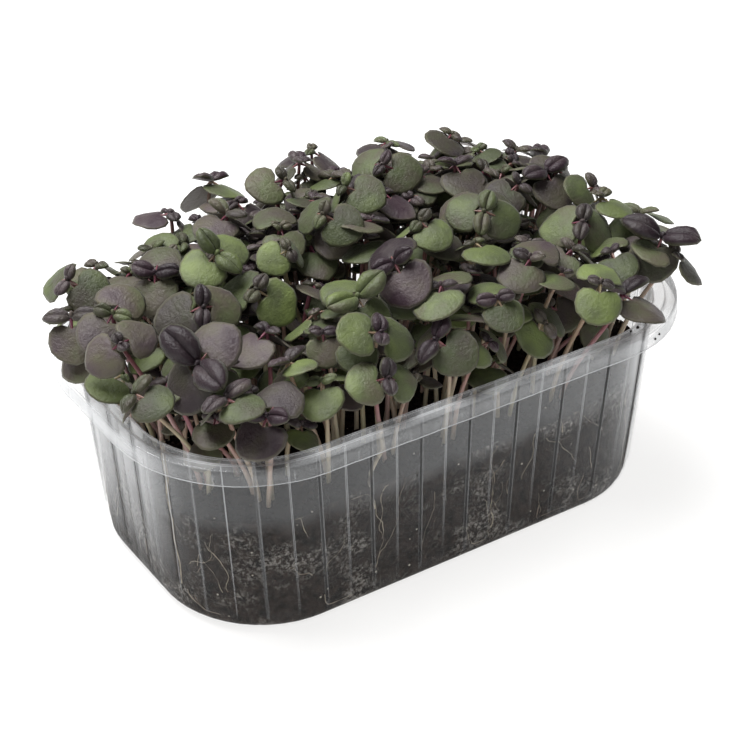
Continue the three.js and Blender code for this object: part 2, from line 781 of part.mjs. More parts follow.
// The finish that fits most of a site's leaves.
function finishOf(site) {
  const tints = site.plans.map((plan) => 0.7 * plan.seedTint + 0.3 * plan.leafTint);
  const mean = tints.reduce((sum, tint) => sum + tint) / tints.length;
  if (mean < HALF_GREEN) {
    return 'leaf_green';
  }
  return mean < HALF_PURPLE ? 'leaf_bronze' : 'leaf_purple';
}

// ---- the assembly ----------------------------------------------------------------------------

// One named piece of the assembly.
function part(name, geometry, colour, roughness) {
  const material = new THREE.MeshStandardMaterial({ color: colour, roughness, metalness: 0 });
  const mesh = new THREE.Mesh(geometry, material);
  mesh.name = name;
  return mesh;
}

const sites = plantSites();
const group = new THREE.Group();
group.add(part('punnet', punnetGeometry(), 0xd8dde0, 0.12));
group.add(part('soil', soilGeometry(sites), 0x1d1815, 0.9));
sites.forEach(function (site, index) {
  const name = `seedlings_${String(index + 1).padStart(2, '0')}`;
  group.add(part(name, seedlingsGeometry(site), TINT_COLOURS[finishOf(site)], 0.55));
});

export default group;
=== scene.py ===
# Microgreens tray: purple basil seedlings in damp potting mix, in a clear thermoformed punnet.
# Sizes are in millimetres and are turned to metres as each mesh is made.
import math

import bpy
import numpy as np
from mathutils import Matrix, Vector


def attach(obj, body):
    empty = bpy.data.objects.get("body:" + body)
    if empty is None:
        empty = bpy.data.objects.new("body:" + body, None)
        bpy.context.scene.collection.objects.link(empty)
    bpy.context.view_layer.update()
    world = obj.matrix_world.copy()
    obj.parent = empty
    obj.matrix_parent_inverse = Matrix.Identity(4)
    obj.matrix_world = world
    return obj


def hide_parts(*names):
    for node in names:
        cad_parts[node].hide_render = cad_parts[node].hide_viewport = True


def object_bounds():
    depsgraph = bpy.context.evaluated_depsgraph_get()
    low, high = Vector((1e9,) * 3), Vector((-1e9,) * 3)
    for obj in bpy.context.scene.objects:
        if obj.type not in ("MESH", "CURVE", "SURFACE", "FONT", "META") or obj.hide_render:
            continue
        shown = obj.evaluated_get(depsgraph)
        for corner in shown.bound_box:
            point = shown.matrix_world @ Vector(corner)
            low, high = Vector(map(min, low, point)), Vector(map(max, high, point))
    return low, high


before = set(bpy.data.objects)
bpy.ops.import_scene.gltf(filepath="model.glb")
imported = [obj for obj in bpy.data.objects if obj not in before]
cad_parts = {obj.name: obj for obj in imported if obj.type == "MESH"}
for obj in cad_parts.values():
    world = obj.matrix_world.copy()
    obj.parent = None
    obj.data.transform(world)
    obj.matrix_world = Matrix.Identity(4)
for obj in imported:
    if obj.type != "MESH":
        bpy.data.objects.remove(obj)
cad_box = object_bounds()

# ---- the punnet --------------------------------------------------------------------------------
# One sheet of clear PET, drawn warm into a mould: a flat base with a rounded foot, a tapered wall
# stiffened by stepped pleats, a flange round the mouth and a lip turned down outside it. The trimmed
# lip and every step of the pleats carry painted highlights, the steps painted shade too, and the drawn
# wall is faintly hazy.

MM = 0.001
RIM_SIZE = np.array([190.0, 116.0, 43.0])
BASE_SIZE = np.array([168.0, 99.0, 35.5])
PUNNET_HEIGHT = 65.0
WALL_TOP = 64.2
FOOT_RADIUS = 5.0
FLANGE_WIDTH = 7.2
LIP_DROP = 4.8
SHEET = 0.45
PLEAT_DEPTH = 0.7
LONG_PLEATS = 6
SHORT_PLEATS = 2
CORNER_PLEATS = 3
STEP_SHARE = 0.06
PLEATS_BEGIN = (5.0, 8.2)
PLEATS_FADE = (60.0, 62.8)
WALL_RINGS = (6.0, 7.0, 8.2, 10.0, 14.0, 20.0, 27.0, 34.0, 41.0, 48.0, 54.0, 58.0, 60.5, 62.0, 62.8)
PLEAT_SHARES = (0, 0.018, 0.03, 0.042, 0.06, 0.074, 0.28, 0.486,
                0.5, 0.521, 0.53, 0.539, 0.56, 0.574, 0.78, 0.986)


def smooth_step(low, high, value):
    """0 below low, 1 above high, and an even rise between them."""
    share = np.clip((np.asarray(value, float) - low) / (high - low), 0, 1)
    return share * share * (3 - 2 * share)


def pleat_places():
    """Places round the punnet: its side, whether it is on a corner, how far along, and its pleat's share."""
    places = []
    for side in range(4):
        pleats = LONG_PLEATS if side % 2 == 0 else SHORT_PLEATS
        for corner, count in ((0, pleats), (1, CORNER_PLEATS)):
            for pleat in range(count):
                for share in PLEAT_SHARES:
                    places.append((side, corner, (pleat + share) / count, share))
    return np.array(places).T


SIDE, CORNER, ALONG, PLEAT_SHARE = pleat_places()
PROUD = smooth_step(0, STEP_SHARE, PLEAT_SHARE) - smooth_step(0.5, 0.5 + STEP_SHARE, PLEAT_SHARE)
# STEP_UP marks each pleat's rising step, where a dark line of painted shade goes; STEP_DOWN marks its falling
# step, where a bright line of painted highlight goes.
STEP_UP = ((PLEAT_SHARE > 0) & (PLEAT_SHARE < STEP_SHARE)).astype(float)
STEP_DOWN = (np.abs(PLEAT_SHARE - 0.5 - STEP_SHARE / 2) < 0.001).astype(float)


def outline(size, inset, z, proud=0.0):
    """A rounded rectangle of a length, width and corner radius, drawn in by inset, at height z."""
    length, width, corner = size[0] / 2 - inset, size[1] / 2 - inset, size[2] - inset
    long_side = SIDE % 2 == 0
    straight = np.where(long_side, length, width) - corner
    across = np.where(long_side, width, length) - corner
    reach = corner + proud
    angle = CORNER * ALONG * math.pi / 2
    x = np.where(CORNER == 1, straight, (2 * ALONG - 1) * straight) + reach * np.sin(angle)
    y = -across - reach * np.cos(angle)
    turn = SIDE * math.pi / 2
    points = [x * np.cos(turn) - y * np.sin(turn), x * np.sin(turn) + y * np.cos(turn)]
    return np.stack([*points, np.full(len(x), 1.0) * z], axis=1)


def wall_size(z):
    """The size of the wall's outer face at a height."""
    top = RIM_SIZE - np.array([2, 2, 1]) * FLANGE_WIDTH
    return BASE_SIZE + (top - BASE_SIZE) * (z - FOOT_RADIUS) / (WALL_TOP - FOOT_RADIUS)


def stand(name, data):
    """Puts a mesh, a light or a camera in the scene as an object."""
    made = bpy.data.objects.new(name, data)
    bpy.context.scene.collection.objects.link(made)
    return made


def carry(mesh, key, values):
    """Gives every point of a mesh a number of its own."""
    mesh.attributes.new(key, "FLOAT", "POINT").data.foreach_set("value", np.array(values, np.float32))


def lofted(name, rings, attributes, middle, end=None):
    """A mesh through rings of points, closed at the first by middle and at the last by any end."""
    count = len(rings[0])
    points = [*(point for ring in rings for point in ring), middle]
    faces, extra = [], [0]
    for row in range(len(rings) - 1):
        for i in range(count):
            j = (i + 1) % count
            low, high = row * count, (row + 1) * count
            faces.append((low + i, low + j, high + j, high + i))
    faces += [(len(points) - 1, (i + 1) % count, i) for i in range(count)]
    if end is not None:
        points.append(end)
        extra.append(len(rings) - 1)
        last = (len(rings) - 1) * count
        faces += [(len(points) - 1, last + i, last + (i + 1) % count) for i in range(count)]
    mesh = bpy.data.meshes.new(name)
    mesh.from_pydata([tuple(float(value) * MM for value in point) for point in points], [], faces)
    for key, rows in attributes.items():
        values = np.concatenate([np.broadcast_to(row, count) for row in rows])
        carry(mesh, key, np.concatenate([values, [values[row * count] for row in extra]]))
    return stand(name, mesh)


def add(tree, kind, settings=None, inputs=None):
    """Adds a node with its settings, and its inputs as values, nodes or other nodes' sockets."""
    made = tree.nodes.new(kind)
    for key, value in (settings or {}).items():
        setattr(made, key, value)
    for key, value in (inputs or {}).items():
        if isinstance(value, bpy.types.Node):
            value = next(socket for socket in value.outputs if socket.enabled)
        if isinstance(value, bpy.types.NodeSocket):
            tree.links.new(value, made.inputs[key])
        else:
            made.inputs[key].default_value = value
    return made


def geometry_tree(name, sockets):
    """A geometry tree with named inputs, its first node and its last."""
    tree = bpy.data.node_groups.new(name, "GeometryNodeTree")
    tree.interface.new_socket(name="Geometry", in_out="INPUT", socket_type="NodeSocketGeometry")
    tree.interface.new_socket(name="Geometry", in_out="OUTPUT", socket_type="NodeSocketGeometry")
    for key, kind in sockets.items():
        tree.interface.new_socket(name=key, in_out="INPUT", socket_type="NodeSocket" + kind)
    return tree, tree.nodes.new("NodeGroupInput"), tree.nodes.new("NodeGroupOutput")


def grown(base, name, tree, values):
    """Runs a geometry tree on a base mesh and keeps what it makes as a plain mesh."""
    modifier = base.modifiers.new("grow", "NODES")
    modifier.node_group = tree
    for item in tree.interface.items_tree:
        if item.in_out == "INPUT" and item.name in values:
            modifier[item.identifier] = values[item.name]
    bpy.context.view_layer.update()
    depsgraph = bpy.context.evaluated_depsgraph_get()
    mesh = bpy.data.meshes.new_from_object(base.evaluated_get(depsgraph), depsgraph=depsgraph)
    bpy.data.objects.remove(base)
    if mesh.materials[0] is None:
        mesh.materials.pop(index=0)
    mesh.name = name
    return stand(name, mesh)


def linear(code):
    """A linear colour from an sRGB hex code."""
    parts = [int(code[i:i + 2], 16) / 255 for i in (1, 3, 5)]
    return (*(part / 12.92 if part <= 0.04045 else ((part + 0.055) / 1.055) ** 2.4 for part in parts), 1.0)


def new_material(name, values):
    """A material with its node tree and its shader, which takes its plain values."""
    material = bpy.data.materials.new(name)
    material.use_nodes = True
    shader = material.node_tree.nodes["Principled BSDF"]
    for key, value in values.items():
        shader.inputs[key].default_value = value
    return material, material.node_tree, shader


# Clear PET, thermoformed: glossy, with a painted reflection that makes it whiter where it is seen edge-on,
# more so higher up, and hazy at the rim, which also carries painted highlight lines. It is misted inside
# above the soil, more towards its +x end, where painted reflection whitens it further. The steps of the
# pleats carry a painted highlight on one edge and painted shade on the other.
CLEAR, MISTED, MIST_AND_REFLECTION_AT_FAR_END, FAR_END_REFLECTION = 0.012, 0.072, 0.115, 0.065
clear_pet, tree, shader = new_material("clear_thermoformed_PET", {"Roughness": 0.09, "IOR": 1.57})
place = add(tree, "ShaderNodeTexCoord").outputs["Object"]
crease_shade, glint, rim_haze_and_highlights = (add(tree, "ShaderNodeAttribute", {"attribute_name": key}).outputs["Fac"]
                          for key in ("crease_shade", "glint", "rim"))
cloud = add(tree, "ShaderNodeTexNoise", None, {"Vector": place, "Scale": 70.0, "Detail": 4.0})
spot = add(tree, "ShaderNodeSeparateXYZ", None, {"Vector": place})
height = spot.outputs[2]
along = spot.outputs[0]
# The mist grows towards the +x end, and past x = 0.03 m the whole wall is whitened further as painted
# reflection.
mist_and_reflection_along_x = add(tree, "ShaderNodeMapRange", None, {"Value": along, "From Min": -0.05, "From Max": 0.06,
                                                  "To Min": MISTED, "To Max": MIST_AND_REFLECTION_AT_FAR_END})
far_end_reflection = add(tree, "ShaderNodeMapRange", None, {"Value": along, "From Min": 0.03, "From Max": 0.075,
                                                 "To Min": 0.0, "To Max": FAR_END_REFLECTION})
above_soil = add(tree, "ShaderNodeMath", {"operation": "MULTIPLY_ADD"}, {0: cloud, 1: 0.012, 2: height})
misted = add(tree, "ShaderNodeMapRange", None, {"Value": above_soil, "From Min": 0.042, "From Max": 0.049,
                                                "To Min": CLEAR, "To Max": mist_and_reflection_along_x})
wall_only = add(tree, "ShaderNodeMapRange", None, {"Value": height, "From Min": 0.059, "From Max": 0.0605,
                                                   "To Min": 1.0, "To Max": 0.25})
mist = add(tree, "ShaderNodeMath", {"operation": "MULTIPLY_ADD"}, {0: misted, 1: wall_only, 2: far_end_reflection})
# Painted reflection: the sheet is made whiter and more opaque where it is seen edge-on, more so higher up.
facing = add(tree, "ShaderNodeLayerWeight", None, {"Blend": 0.5}).outputs["Facing"]
grazing = add(tree, "ShaderNodeMath", {"operation": "POWER"}, {0: facing, 1: 4.0})
reflection_by_height = add(tree, "ShaderNodeMapRange", None, {"Value": height, "From Min": 0.01, "From Max": 0.06,
                                                "To Min": 0.15, "To Max": 2.1})
painted_reflection_and_mist = add(tree, "ShaderNodeMath", {"operation": "MULTIPLY_ADD"}, {0: grazing, 1: reflection_by_height, 2: mist})
# The pleats' painted lines: painted shade at each rising step and a painted highlight at each falling one,
# both fading lower down.
lines_fade_lower = add(tree, "ShaderNodeMapRange", None, {"Value": height, "From Min": 0.008, "From Max": 0.042,
                                              "To Min": 0.3, "To Max": 1.0})
glints = add(tree, "ShaderNodeMath", {"operation": "MULTIPLY"}, {0: glint, 1: 0.5})
lines = add(tree, "ShaderNodeMath", {"operation": "MULTIPLY_ADD"}, {0: crease_shade, 1: 0.75, 2: glints})
painted_step_lines = add(tree, "ShaderNodeMath", {"operation": "MULTIPLY"}, {0: lines, 1: lines_fade_lower})
stepped = add(tree, "ShaderNodeMath", {"operation": "ADD"}, {0: painted_step_lines, 1: painted_reflection_and_mist})
streaks = add(tree, "ShaderNodeTexNoise", None, {
    "Vector": add(tree, "ShaderNodeMapping", None, {"Vector": place, "Scale": (0.2, 0.2, 5.0)}),
    "Scale": 420.0, "Detail": 2.0})
drawn = add(tree, "ShaderNodeMapRange", None, {"Value": streaks, "From Min": 0.35, "From Max": 0.65,
                                               "To Min": 0.07, "To Max": 0.14})
# At the rim: its streaky haze, a painted reflection where it is seen edge-on, and the painted highlight lines
# that the rim values carry.
painted_grazing_reflection = add(tree, "ShaderNodeMath", {"operation": "MULTIPLY"}, {0: facing, 1: facing})
reflection_and_streaky_haze = add(tree, "ShaderNodeMath", {"operation": "MULTIPLY_ADD"}, {0: painted_grazing_reflection, 1: 1.3, 2: drawn})
rim_haze_and_painted_light = add(tree, "ShaderNodeMath", {"operation": "MULTIPLY"}, {0: rim_haze_and_highlights, 1: reflection_and_streaky_haze})
sheet = add(tree, "ShaderNodeMath", {"operation": "ADD"}, {0: stepped, 1: rim_haze_and_painted_light})
flecks = add(tree, "ShaderNodeTexVoronoi", None, {"Vector": place, "Scale": 360.0})
chosen = add(tree, "ShaderNodeSeparateColor", None, {"Color": flecks.outputs["Color"]})
rare = add(tree, "ShaderNodeMath", {"operation": "GREATER_THAN"}, {0: chosen.outputs[0], 1: 0.8})
dot = add(tree, "ShaderNodeMath", {"operation": "LESS_THAN"}, {0: flecks.outputs["Distance"], 1: 0.09})
below_rim = add(tree, "ShaderNodeMath", {"operation": "LESS_THAN"}, {0: height, 1: 0.056})
fleck = add(tree, "ShaderNodeMath", {"operation": "MULTIPLY"},
            {0: add(tree, "ShaderNodeMath", {"operation": "MULTIPLY"}, {0: rare, 1: dot}), 1: below_rim})
opaque = add(tree, "ShaderNodeMath", {"operation": "MULTIPLY_ADD", "use_clamp": True},
             {0: fleck, 1: 0.5, 2: add(tree, "ShaderNodeMath", {"operation": "MINIMUM"}, {0: sheet, 1: 0.6})})
# The sheet is pale, and near black along each crease as painted shade.
tone = add(tree, "ShaderNodeMix", {"data_type": "RGBA"},
           {0: crease_shade, 6: linear("#e2e4e6"), 7: linear("#1b1b1d")})
dirty = add(tree, "ShaderNodeMix", {"data_type": "RGBA"},
            {0: fleck, 6: tone.outputs[2], 7: linear("#8a6f62")})
tree.links.new(dirty.outputs[2], shader.inputs["Base Color"])
tree.links.new(opaque.outputs[0], shader.inputs["Alpha"])

# The sheet's inner face, from the middle of the base up the wall, over the flange and down the lip.
rings, crease_shades, glints, rim_haze_and_highlight_rows = [], [], [], []


def lay_ring(points, pleated=0.0, rim=0.0, shaded=1.0):
    """Lays the next ring of the sheet."""
    rings.append(points)
    # Painted shade along the rising steps, painted highlight along the falling ones.
    crease_shades.append(STEP_UP * pleated * shaded)
    glints.append(STEP_DOWN * pleated)
    # rim: the haze of the flange and lip and, where it is high, a painted highlight line.
    rim_haze_and_highlight_rows.append(np.full(len(points), 1.0) * rim)


BASE_PANEL_RISE = 0.4
for inset, rise in ((26.0, BASE_PANEL_RISE), (11.0, BASE_PANEL_RISE), (9.6, 0.0), (FOOT_RADIUS, 0.0)):
    lay_ring(outline(BASE_SIZE, inset + PLEAT_DEPTH, SHEET + rise))
for step in range(1, 6):
    bend = step * math.pi / 10
    drawn = FOOT_RADIUS - (FOOT_RADIUS - SHEET) * math.sin(bend)
    lift = FOOT_RADIUS - (FOOT_RADIUS - SHEET) * math.cos(bend)
    lay_ring(outline(BASE_SIZE, drawn + PLEAT_DEPTH, lift))
for z in WALL_RINGS:
    strength = float(smooth_step(*PLEATS_BEGIN, z)) * (1 - 0.75 * float(smooth_step(*PLEATS_FADE, z)))
    lay_ring(outline(wall_size(z), SHEET + PLEAT_DEPTH, z, PLEAT_DEPTH * PROUD * strength), strength)

# The flange and lip. The flange's step carries a painted highlight line over each proud pleat, and so do
# the mouth's bend, the lip's bend and the trimmed edge of the lip all round.
MOUTH_BEND = 1.4
LIP_EDGE = 0.35
LEDGE_DROP = 0.7
# LEDGE_GLINT: a painted highlight along the flange's step, brightest over proud pleats.
LEDGE_GLINT = 0.6 + 1.1 * PROUD
LIP_BEND = 1.1
LIP_MARK = 0.1
LIP_SHADE = 0.15
flange_inner = FLANGE_WIDTH + SHEET + PLEAT_DEPTH
ledge = PUNNET_HEIGHT - LEDGE_DROP
for step in range(1, 5):
    bend = step * math.pi / 8
    drawn = flange_inner - MOUTH_BEND * (1 - math.cos(bend))
    lift = ledge - MOUTH_BEND * (1 - math.sin(bend))
    fading = PLEAT_DEPTH * PROUD * 0.25 * (1 - step / 4)
    lay_ring(outline(RIM_SIZE, drawn, lift, fading), 0.0, 0.5 if step == 2 else 0.1)
for inset, z, rim in ((4.9, ledge, 0.1), (4.55, ledge + 0.05, 0.1), (4.35, ledge + 0.12, LEDGE_GLINT),
                      (4.15, ledge + 0.25, 0.12), (3.7, PUNNET_HEIGHT - 0.12, 0.12),
                      (3.1, PUNNET_HEIGHT, 0.12)):
    lay_ring(outline(RIM_SIZE, inset, z), 0.0, rim)
for step in range(0, 6):
    bend = step * math.pi / 10
    drawn = LIP_EDGE + LIP_BEND * (1 - math.sin(bend))
    lift = PUNNET_HEIGHT - LIP_BEND * (1 - math.cos(bend))
    lay_ring(outline(RIM_SIZE, drawn, lift), 0.0, 1.3 if step == 2 else 0.3)
lip_foot = PUNNET_HEIGHT - LIP_DROP
for inset, z, rim in ((0.28, 62.6, 0.4), (0.22, 61.4, 0.4), (0.12, 60.6, 0.4), (0.0, lip_foot, 1.6)):
    lay_ring(outline(RIM_SIZE, inset, z, -LIP_MARK * PROUD), 0.5, rim, LIP_SHADE)
sheet_face = lofted("punnet_face", rings, {"crease_shade": crease_shades, "glint": glints, "rim": rim_haze_and_highlight_rows},
                    middle=(0.0, 0.0, SHEET + BASE_PANEL_RISE))

# The sheet's thickness: its inner face turned inward, and the same face moved out by the thickness.
tree, start, finish = geometry_tree("sheet_thickness", {"Thickness": "Float"})
moved = add(tree, "GeometryNodeExtrudeMesh", {"mode": "FACES"},
            {"Mesh": start.outputs["Geometry"], "Offset Scale": start.outputs["Thickness"],
             "Individual": False})
turned = add(tree, "GeometryNodeFlipFaces", None, {"Mesh": start.outputs["Geometry"]})
both = add(tree, "GeometryNodeJoinGeometry")
tree.links.new(moved.outputs["Mesh"], both.inputs[0])
tree.links.new(turned.outputs[0], both.inputs[0])
merged = add(tree, "GeometryNodeMergeByDistance", None, {"Geometry": both, "Distance": 0.00001})
shaded = add(tree, "GeometryNodeSetShadeSmooth", None, {"Geometry": merged})
finished = add(tree, "GeometryNodeSetMaterial", None, {"Geometry": shaded, "Material": clear_pet})
tree.links.new(finished.outputs[0], finish.inputs[0])
punnet = grown(sheet_face, "clear_punnet", tree, {"Thickness": SHEET * MM})
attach(punnet, "root")
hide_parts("punnet")

# ---- the potting mix ---------------------------------------------------------------------------
# Damp, dark peat and compost, filled loose and settled: crumbs and fibres on top, pressed flat and
# misted with condensation where it lies against the punnet.

SOIL_DEPTH = 41.0
SOIL_SWELL = 1.8
SOIL_HOLD = 1.4
SOIL_FLOOR = 1.1
FOOT_GAP = 0.7
SOIL_RINGS = 15


def soil_top(x, y):
    """How high the soil stands: shallow swells over its mean depth."""
    broad = np.sin(0.05 * x + 0.6) * np.cos(0.07 * y - 0.3)
    short = np.sin(0.13 * x - 0.11 * y + 1.0)
    return SOIL_DEPTH + SOIL_SWELL * (0.8 * broad + 0.4 * short) + 0.012 * x


# Damp potting mix, matt, with paler fibres and grains of perlite. Grain 0.6 mm, clods 3 mm, patches of
# mist 11 mm wide where it meets the plastic.
potting_mix, tree, shader = new_material("damp_potting_mix", {"Roughness": 0.85, "Specular IOR Level": 0.15})
place = add(tree, "ShaderNodeTexCoord").outputs["Object"]
pressed = add(tree, "ShaderNodeAttribute", {"attribute_name": "pressed"}).outputs["Fac"]
clods = add(tree, "ShaderNodeTexNoise", None,
            {"Vector": place, "Scale": 330.0, "Detail": 5.0, "Roughness": 0.7})
earth = add(tree, "ShaderNodeValToRGB", None, {"Fac": clods})
for element, (position, code) in zip(earth.color_ramp.elements, ((0.36, "#0d0a08"), (0.72, "#3a302a"))):
    element.position = position
    element.color = linear(code)
grains = add(tree, "ShaderNodeTexVoronoi", None, {"Vector": place, "Scale": 420.0})
perlite = add(tree, "ShaderNodeMapRange", None,
              {"Value": grains.outputs["Distance"], "From Min": 0.10, "From Max": 0.16,
               "To Min": 1.0, "To Max": 0.0})
pick = add(tree, "ShaderNodeSeparateColor", None, {"Color": grains.outputs["Color"]})
few = add(tree, "ShaderNodeMath", {"operation": "GREATER_THAN"}, {0: pick.outputs[0], 1: 0.93})
speck = add(tree, "ShaderNodeMath", {"operation": "MULTIPLY"}, {0: perlite, 1: few})
speckled = add(tree, "ShaderNodeMix", {"data_type": "RGBA"}, {0: speck, 6: earth, 7: linear("#b9b2a4")})
patches = add(tree, "ShaderNodeTexNoise", None,
              {"Vector": place, "Scale": 62.0, "Detail": 3.0, "Roughness": 0.55})
mottle = add(tree, "ShaderNodeTexNoise", None,
             {"Vector": place, "Scale": 800.0, "Detail": 5.0, "Roughness": 0.8})
patch = add(tree, "ShaderNodeMapRange", None,
            {"Value": patches, "From Min": 0.5, "From Max": 0.64, "To Min": 0.06, "To Max": 1.0})
grit = add(tree, "ShaderNodeMapRange", None,
           {"Value": mottle, "From Min": 0.48, "From Max": 0.6, "To Min": 0.0, "To Max": 0.8})
mist = add(tree, "ShaderNodeMath", {"operation": "MULTIPLY"}, {0: patch, 1: grit})
misted = add(tree, "ShaderNodeMath", {"operation": "MULTIPLY", "use_clamp": True}, {0: mist, 1: pressed})
surface = add(tree, "ShaderNodeMix", {"data_type": "RGBA"},
              {0: misted, 6: speckled.outputs[2], 7: linear("#99958f")})
tree.links.new(surface.outputs[2], shader.inputs["Base Color"])
bump = add(tree, "ShaderNodeBump", None, {"Height": clods, "Strength": 0.9, "Distance": 0.0012})
tree.links.new(bump.outputs[0], shader.inputs["Normal"])

rings, sides = [], []
for inset, z in ((26.0, SOIL_FLOOR), (12.0, SOIL_FLOOR), (9.8, FOOT_GAP)):
    rings.append(outline(BASE_SIZE, inset, z))
    sides.append(1.0)
for step in range(5):
    bend = step * math.pi / 10
    drawn = SOIL_HOLD + (FOOT_RADIUS - FOOT_GAP) * (1 - math.sin(bend))
    rings.append(outline(BASE_SIZE, drawn, FOOT_RADIUS - (FOOT_RADIUS - FOOT_GAP) * math.cos(bend)))
    sides.append(1.0)
brim = outline(wall_size(SOIL_DEPTH), SOIL_HOLD, SOIL_DEPTH)
brim_top = soil_top(brim[:, 0], brim[:, 1])
for step in range(1, SOIL_RINGS + 1):
    share = step / SOIL_RINGS
    row = outline(wall_size(FOOT_RADIUS + (SOIL_DEPTH - FOOT_RADIUS) * share), SOIL_HOLD, 0.0)
    row[:, 2] = FOOT_RADIUS + (brim_top - FOOT_RADIUS) * share
    rings.append(row)
    sides.append(1.0)
for share in (0.985, 0.96, 0.93, 0.9, 0.86, 0.82, 0.78, 0.74, 0.7, 0.65,
              0.6, 0.54, 0.48, 0.42, 0.36, 0.3, 0.23, 0.16, 0.08):
    row = brim * share
    row[:, 2] = soil_top(row[:, 0], row[:, 1])
    rings.append(row)
    sides.append(0.0)
soil_base = lofted("soil_base", rings, {"pressed": sides},
                   middle=(0.0, 0.0, SOIL_FLOOR), end=(0.0, 0.0, float(soil_top(0.0, 0.0))))

# A crumb: a lump with twelve corners and twenty faces.
CRUMB_ROUGHNESS = 0.35
golden = (1 + math.sqrt(5)) / 2
corners = [(a, b * golden, 0) for a in (-1, 1) for b in (-1, 1)]
corners += [(0, a, b * golden) for a in (-1, 1) for b in (-1, 1)]
corners += [(b * golden, 0, a) for a in (-1, 1) for b in (-1, 1)]
lumps = []
for i, corner in enumerate(corners):
    size = 1 + CRUMB_ROUGHNESS * math.sin(2.7 * i + 0.4)
    lumps.append(tuple(value * size / 1.9 for value in corner))
triangles = []
for i in range(12):
    for j in range(i + 1, 12):
        for k in range(j + 1, 12):
            a, b, c = (np.array(corners[n], float) for n in (i, j, k))
            if max(np.linalg.norm(a - b), np.linalg.norm(b - c), np.linalg.norm(c - a)) < 2.1:
                outward_way = np.dot(np.cross(b - a, c - a), a) > 0
                triangles.append((i, j, k) if outward_way else (i, k, j))
crumb_mesh = bpy.data.meshes.new("crumb")
crumb_mesh.from_pydata(lumps, [], triangles)
crumb = stand("crumb", crumb_mesh)

# The surface is broken into clods, and loose crumbs lie all over it.
tree, start, finish = geometry_tree(
    "soil_surface", {"Clod height": "Float", "Clods per metre": "Float", "Crumbs per square metre": "Float",
                     "Smallest crumb": "Float", "Largest crumb": "Float", "Crumb": "Object", "Seed": "Int"})
pressed = add(tree, "GeometryNodeInputNamedAttribute", {"data_type": "FLOAT"}, {"Name": "pressed"}).outputs[0]
loose = add(tree, "ShaderNodeMath", {"operation": "SUBTRACT"}, {0: 1.0, 1: pressed})
where = add(tree, "GeometryNodeInputPosition")
lumpy = add(tree, "ShaderNodeTexNoise", None,
            {"Vector": where, "Scale": start.outputs["Clods per metre"], "Detail": 3.0, "Roughness": 0.6})
centred = add(tree, "ShaderNodeMath", {"operation": "SUBTRACT"}, {0: lumpy.outputs[0], 1: 0.5})
tall = add(tree, "ShaderNodeMath", {"operation": "MULTIPLY"}, {0: centred, 1: start.outputs["Clod height"]})
kept = add(tree, "ShaderNodeMath", {"operation": "MULTIPLY"}, {0: tall, 1: loose})
up = add(tree, "ShaderNodeCombineXYZ", None, {"Z": kept})
rough = add(tree, "GeometryNodeSetPosition", None, {"Geometry": start.outputs["Geometry"], "Offset": up})
top_only = add(tree, "FunctionNodeCompare", {"data_type": "FLOAT", "operation": "LESS_THAN"},
               {0: pressed, 1: 0.5})
spots = add(tree, "GeometryNodeDistributePointsOnFaces", None,
            {"Mesh": rough, "Selection": top_only, "Density": start.outputs["Crumbs per square metre"],
             "Seed": start.outputs["Seed"]})
spin = add(tree, "FunctionNodeRandomValue", {"data_type": "FLOAT_VECTOR"},
           {"Max": (6.28, 6.28, 6.28), "Seed": 3})
width = add(tree, "FunctionNodeRandomValue", {"data_type": "FLOAT"},
            {2: start.outputs["Smallest crumb"], 3: start.outputs["Largest crumb"], "Seed": 4})
shape = add(tree, "GeometryNodeObjectInfo", None, {"Object": start.outputs["Crumb"]})
scattered = add(tree, "GeometryNodeInstanceOnPoints", None,
                {"Points": spots.outputs["Points"], "Instance": shape.outputs["Geometry"], "Rotation": spin,
                 "Scale": width.outputs[1]})
real = add(tree, "GeometryNodeRealizeInstances", None, {"Geometry": scattered})
both = add(tree, "GeometryNodeJoinGeometry")
tree.links.new(rough.outputs[0], both.inputs[0])
tree.links.new(real.outputs[0], both.inputs[0])
finished = add(tree, "GeometryNodeSetMaterial", None, {"Geometry": both, "Material": potting_mix})
tree.links.new(finished.outputs[0], finish.inputs[0])
soil = grown(soil_base, "potting_mix", tree, {
    "Clod height": 2.6 * MM, "Clods per metre": 260.0, "Crumbs per square metre": 260000.0,
    "Smallest crumb": 0.35 * MM, "Largest crumb": 1.15 * MM, "Crumb": crumb, "Seed": 7})
bpy.data.objects.remove(crumb)
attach(soil, "root")
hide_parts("soil")

# A few crumbs spilt in planting cling to the flange and the lip: each a place and a size.
RIM_CRUMBS = ((61.2, -51.2, 64.7, 0.6), (58.2, -51.5, 64.5, 0.42),
              (66.1, -55.5, 62.9, 0.38), (63.95, -56.25, 62.3, 0.42))
spilt = bpy.data.meshes.new("rim_crumbs")
spilt_points = [tuple((at + size * lump) * MM for at, lump in zip(place, shape))
                for *place, size in RIM_CRUMBS for shape in lumps]
spilt_faces = [tuple(i + len(lumps) * n for i in triangle)
               for n in range(len(RIM_CRUMBS)) for triangle in triangles]
spilt.from_pydata(spilt_points, [], spilt_faces)
spilt.materials.append(potting_mix)
rim_crumbs = stand("rim_crumbs", spilt)
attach(rim_crumbs, "root")

# ---- the roots ---------------------------------------------------------------------------------
# Living basil roots, cream and tan, that have grown out to the edge of the soil and run down between it
# and the wall. Two bare stems stand among them, against the wall.

THREADS = 90
THREAD_STEP = 1.5
THREAD_WANDER = 0.3
THREAD_INSET = 1.32
THREAD_LOWEST, THREAD_HIGHEST = 5.5, 40.5
thread_draws = np.random.default_rng(5)
middle_ring = outline(wall_size(25.0), SOIL_HOLD, 25.0)
middle_ring = np.vstack([middle_ring, middle_ring[:1]])
ROUND = np.concatenate([[0.0], np.cumsum(np.linalg.norm(np.diff(middle_ring, axis=0), axis=1))])


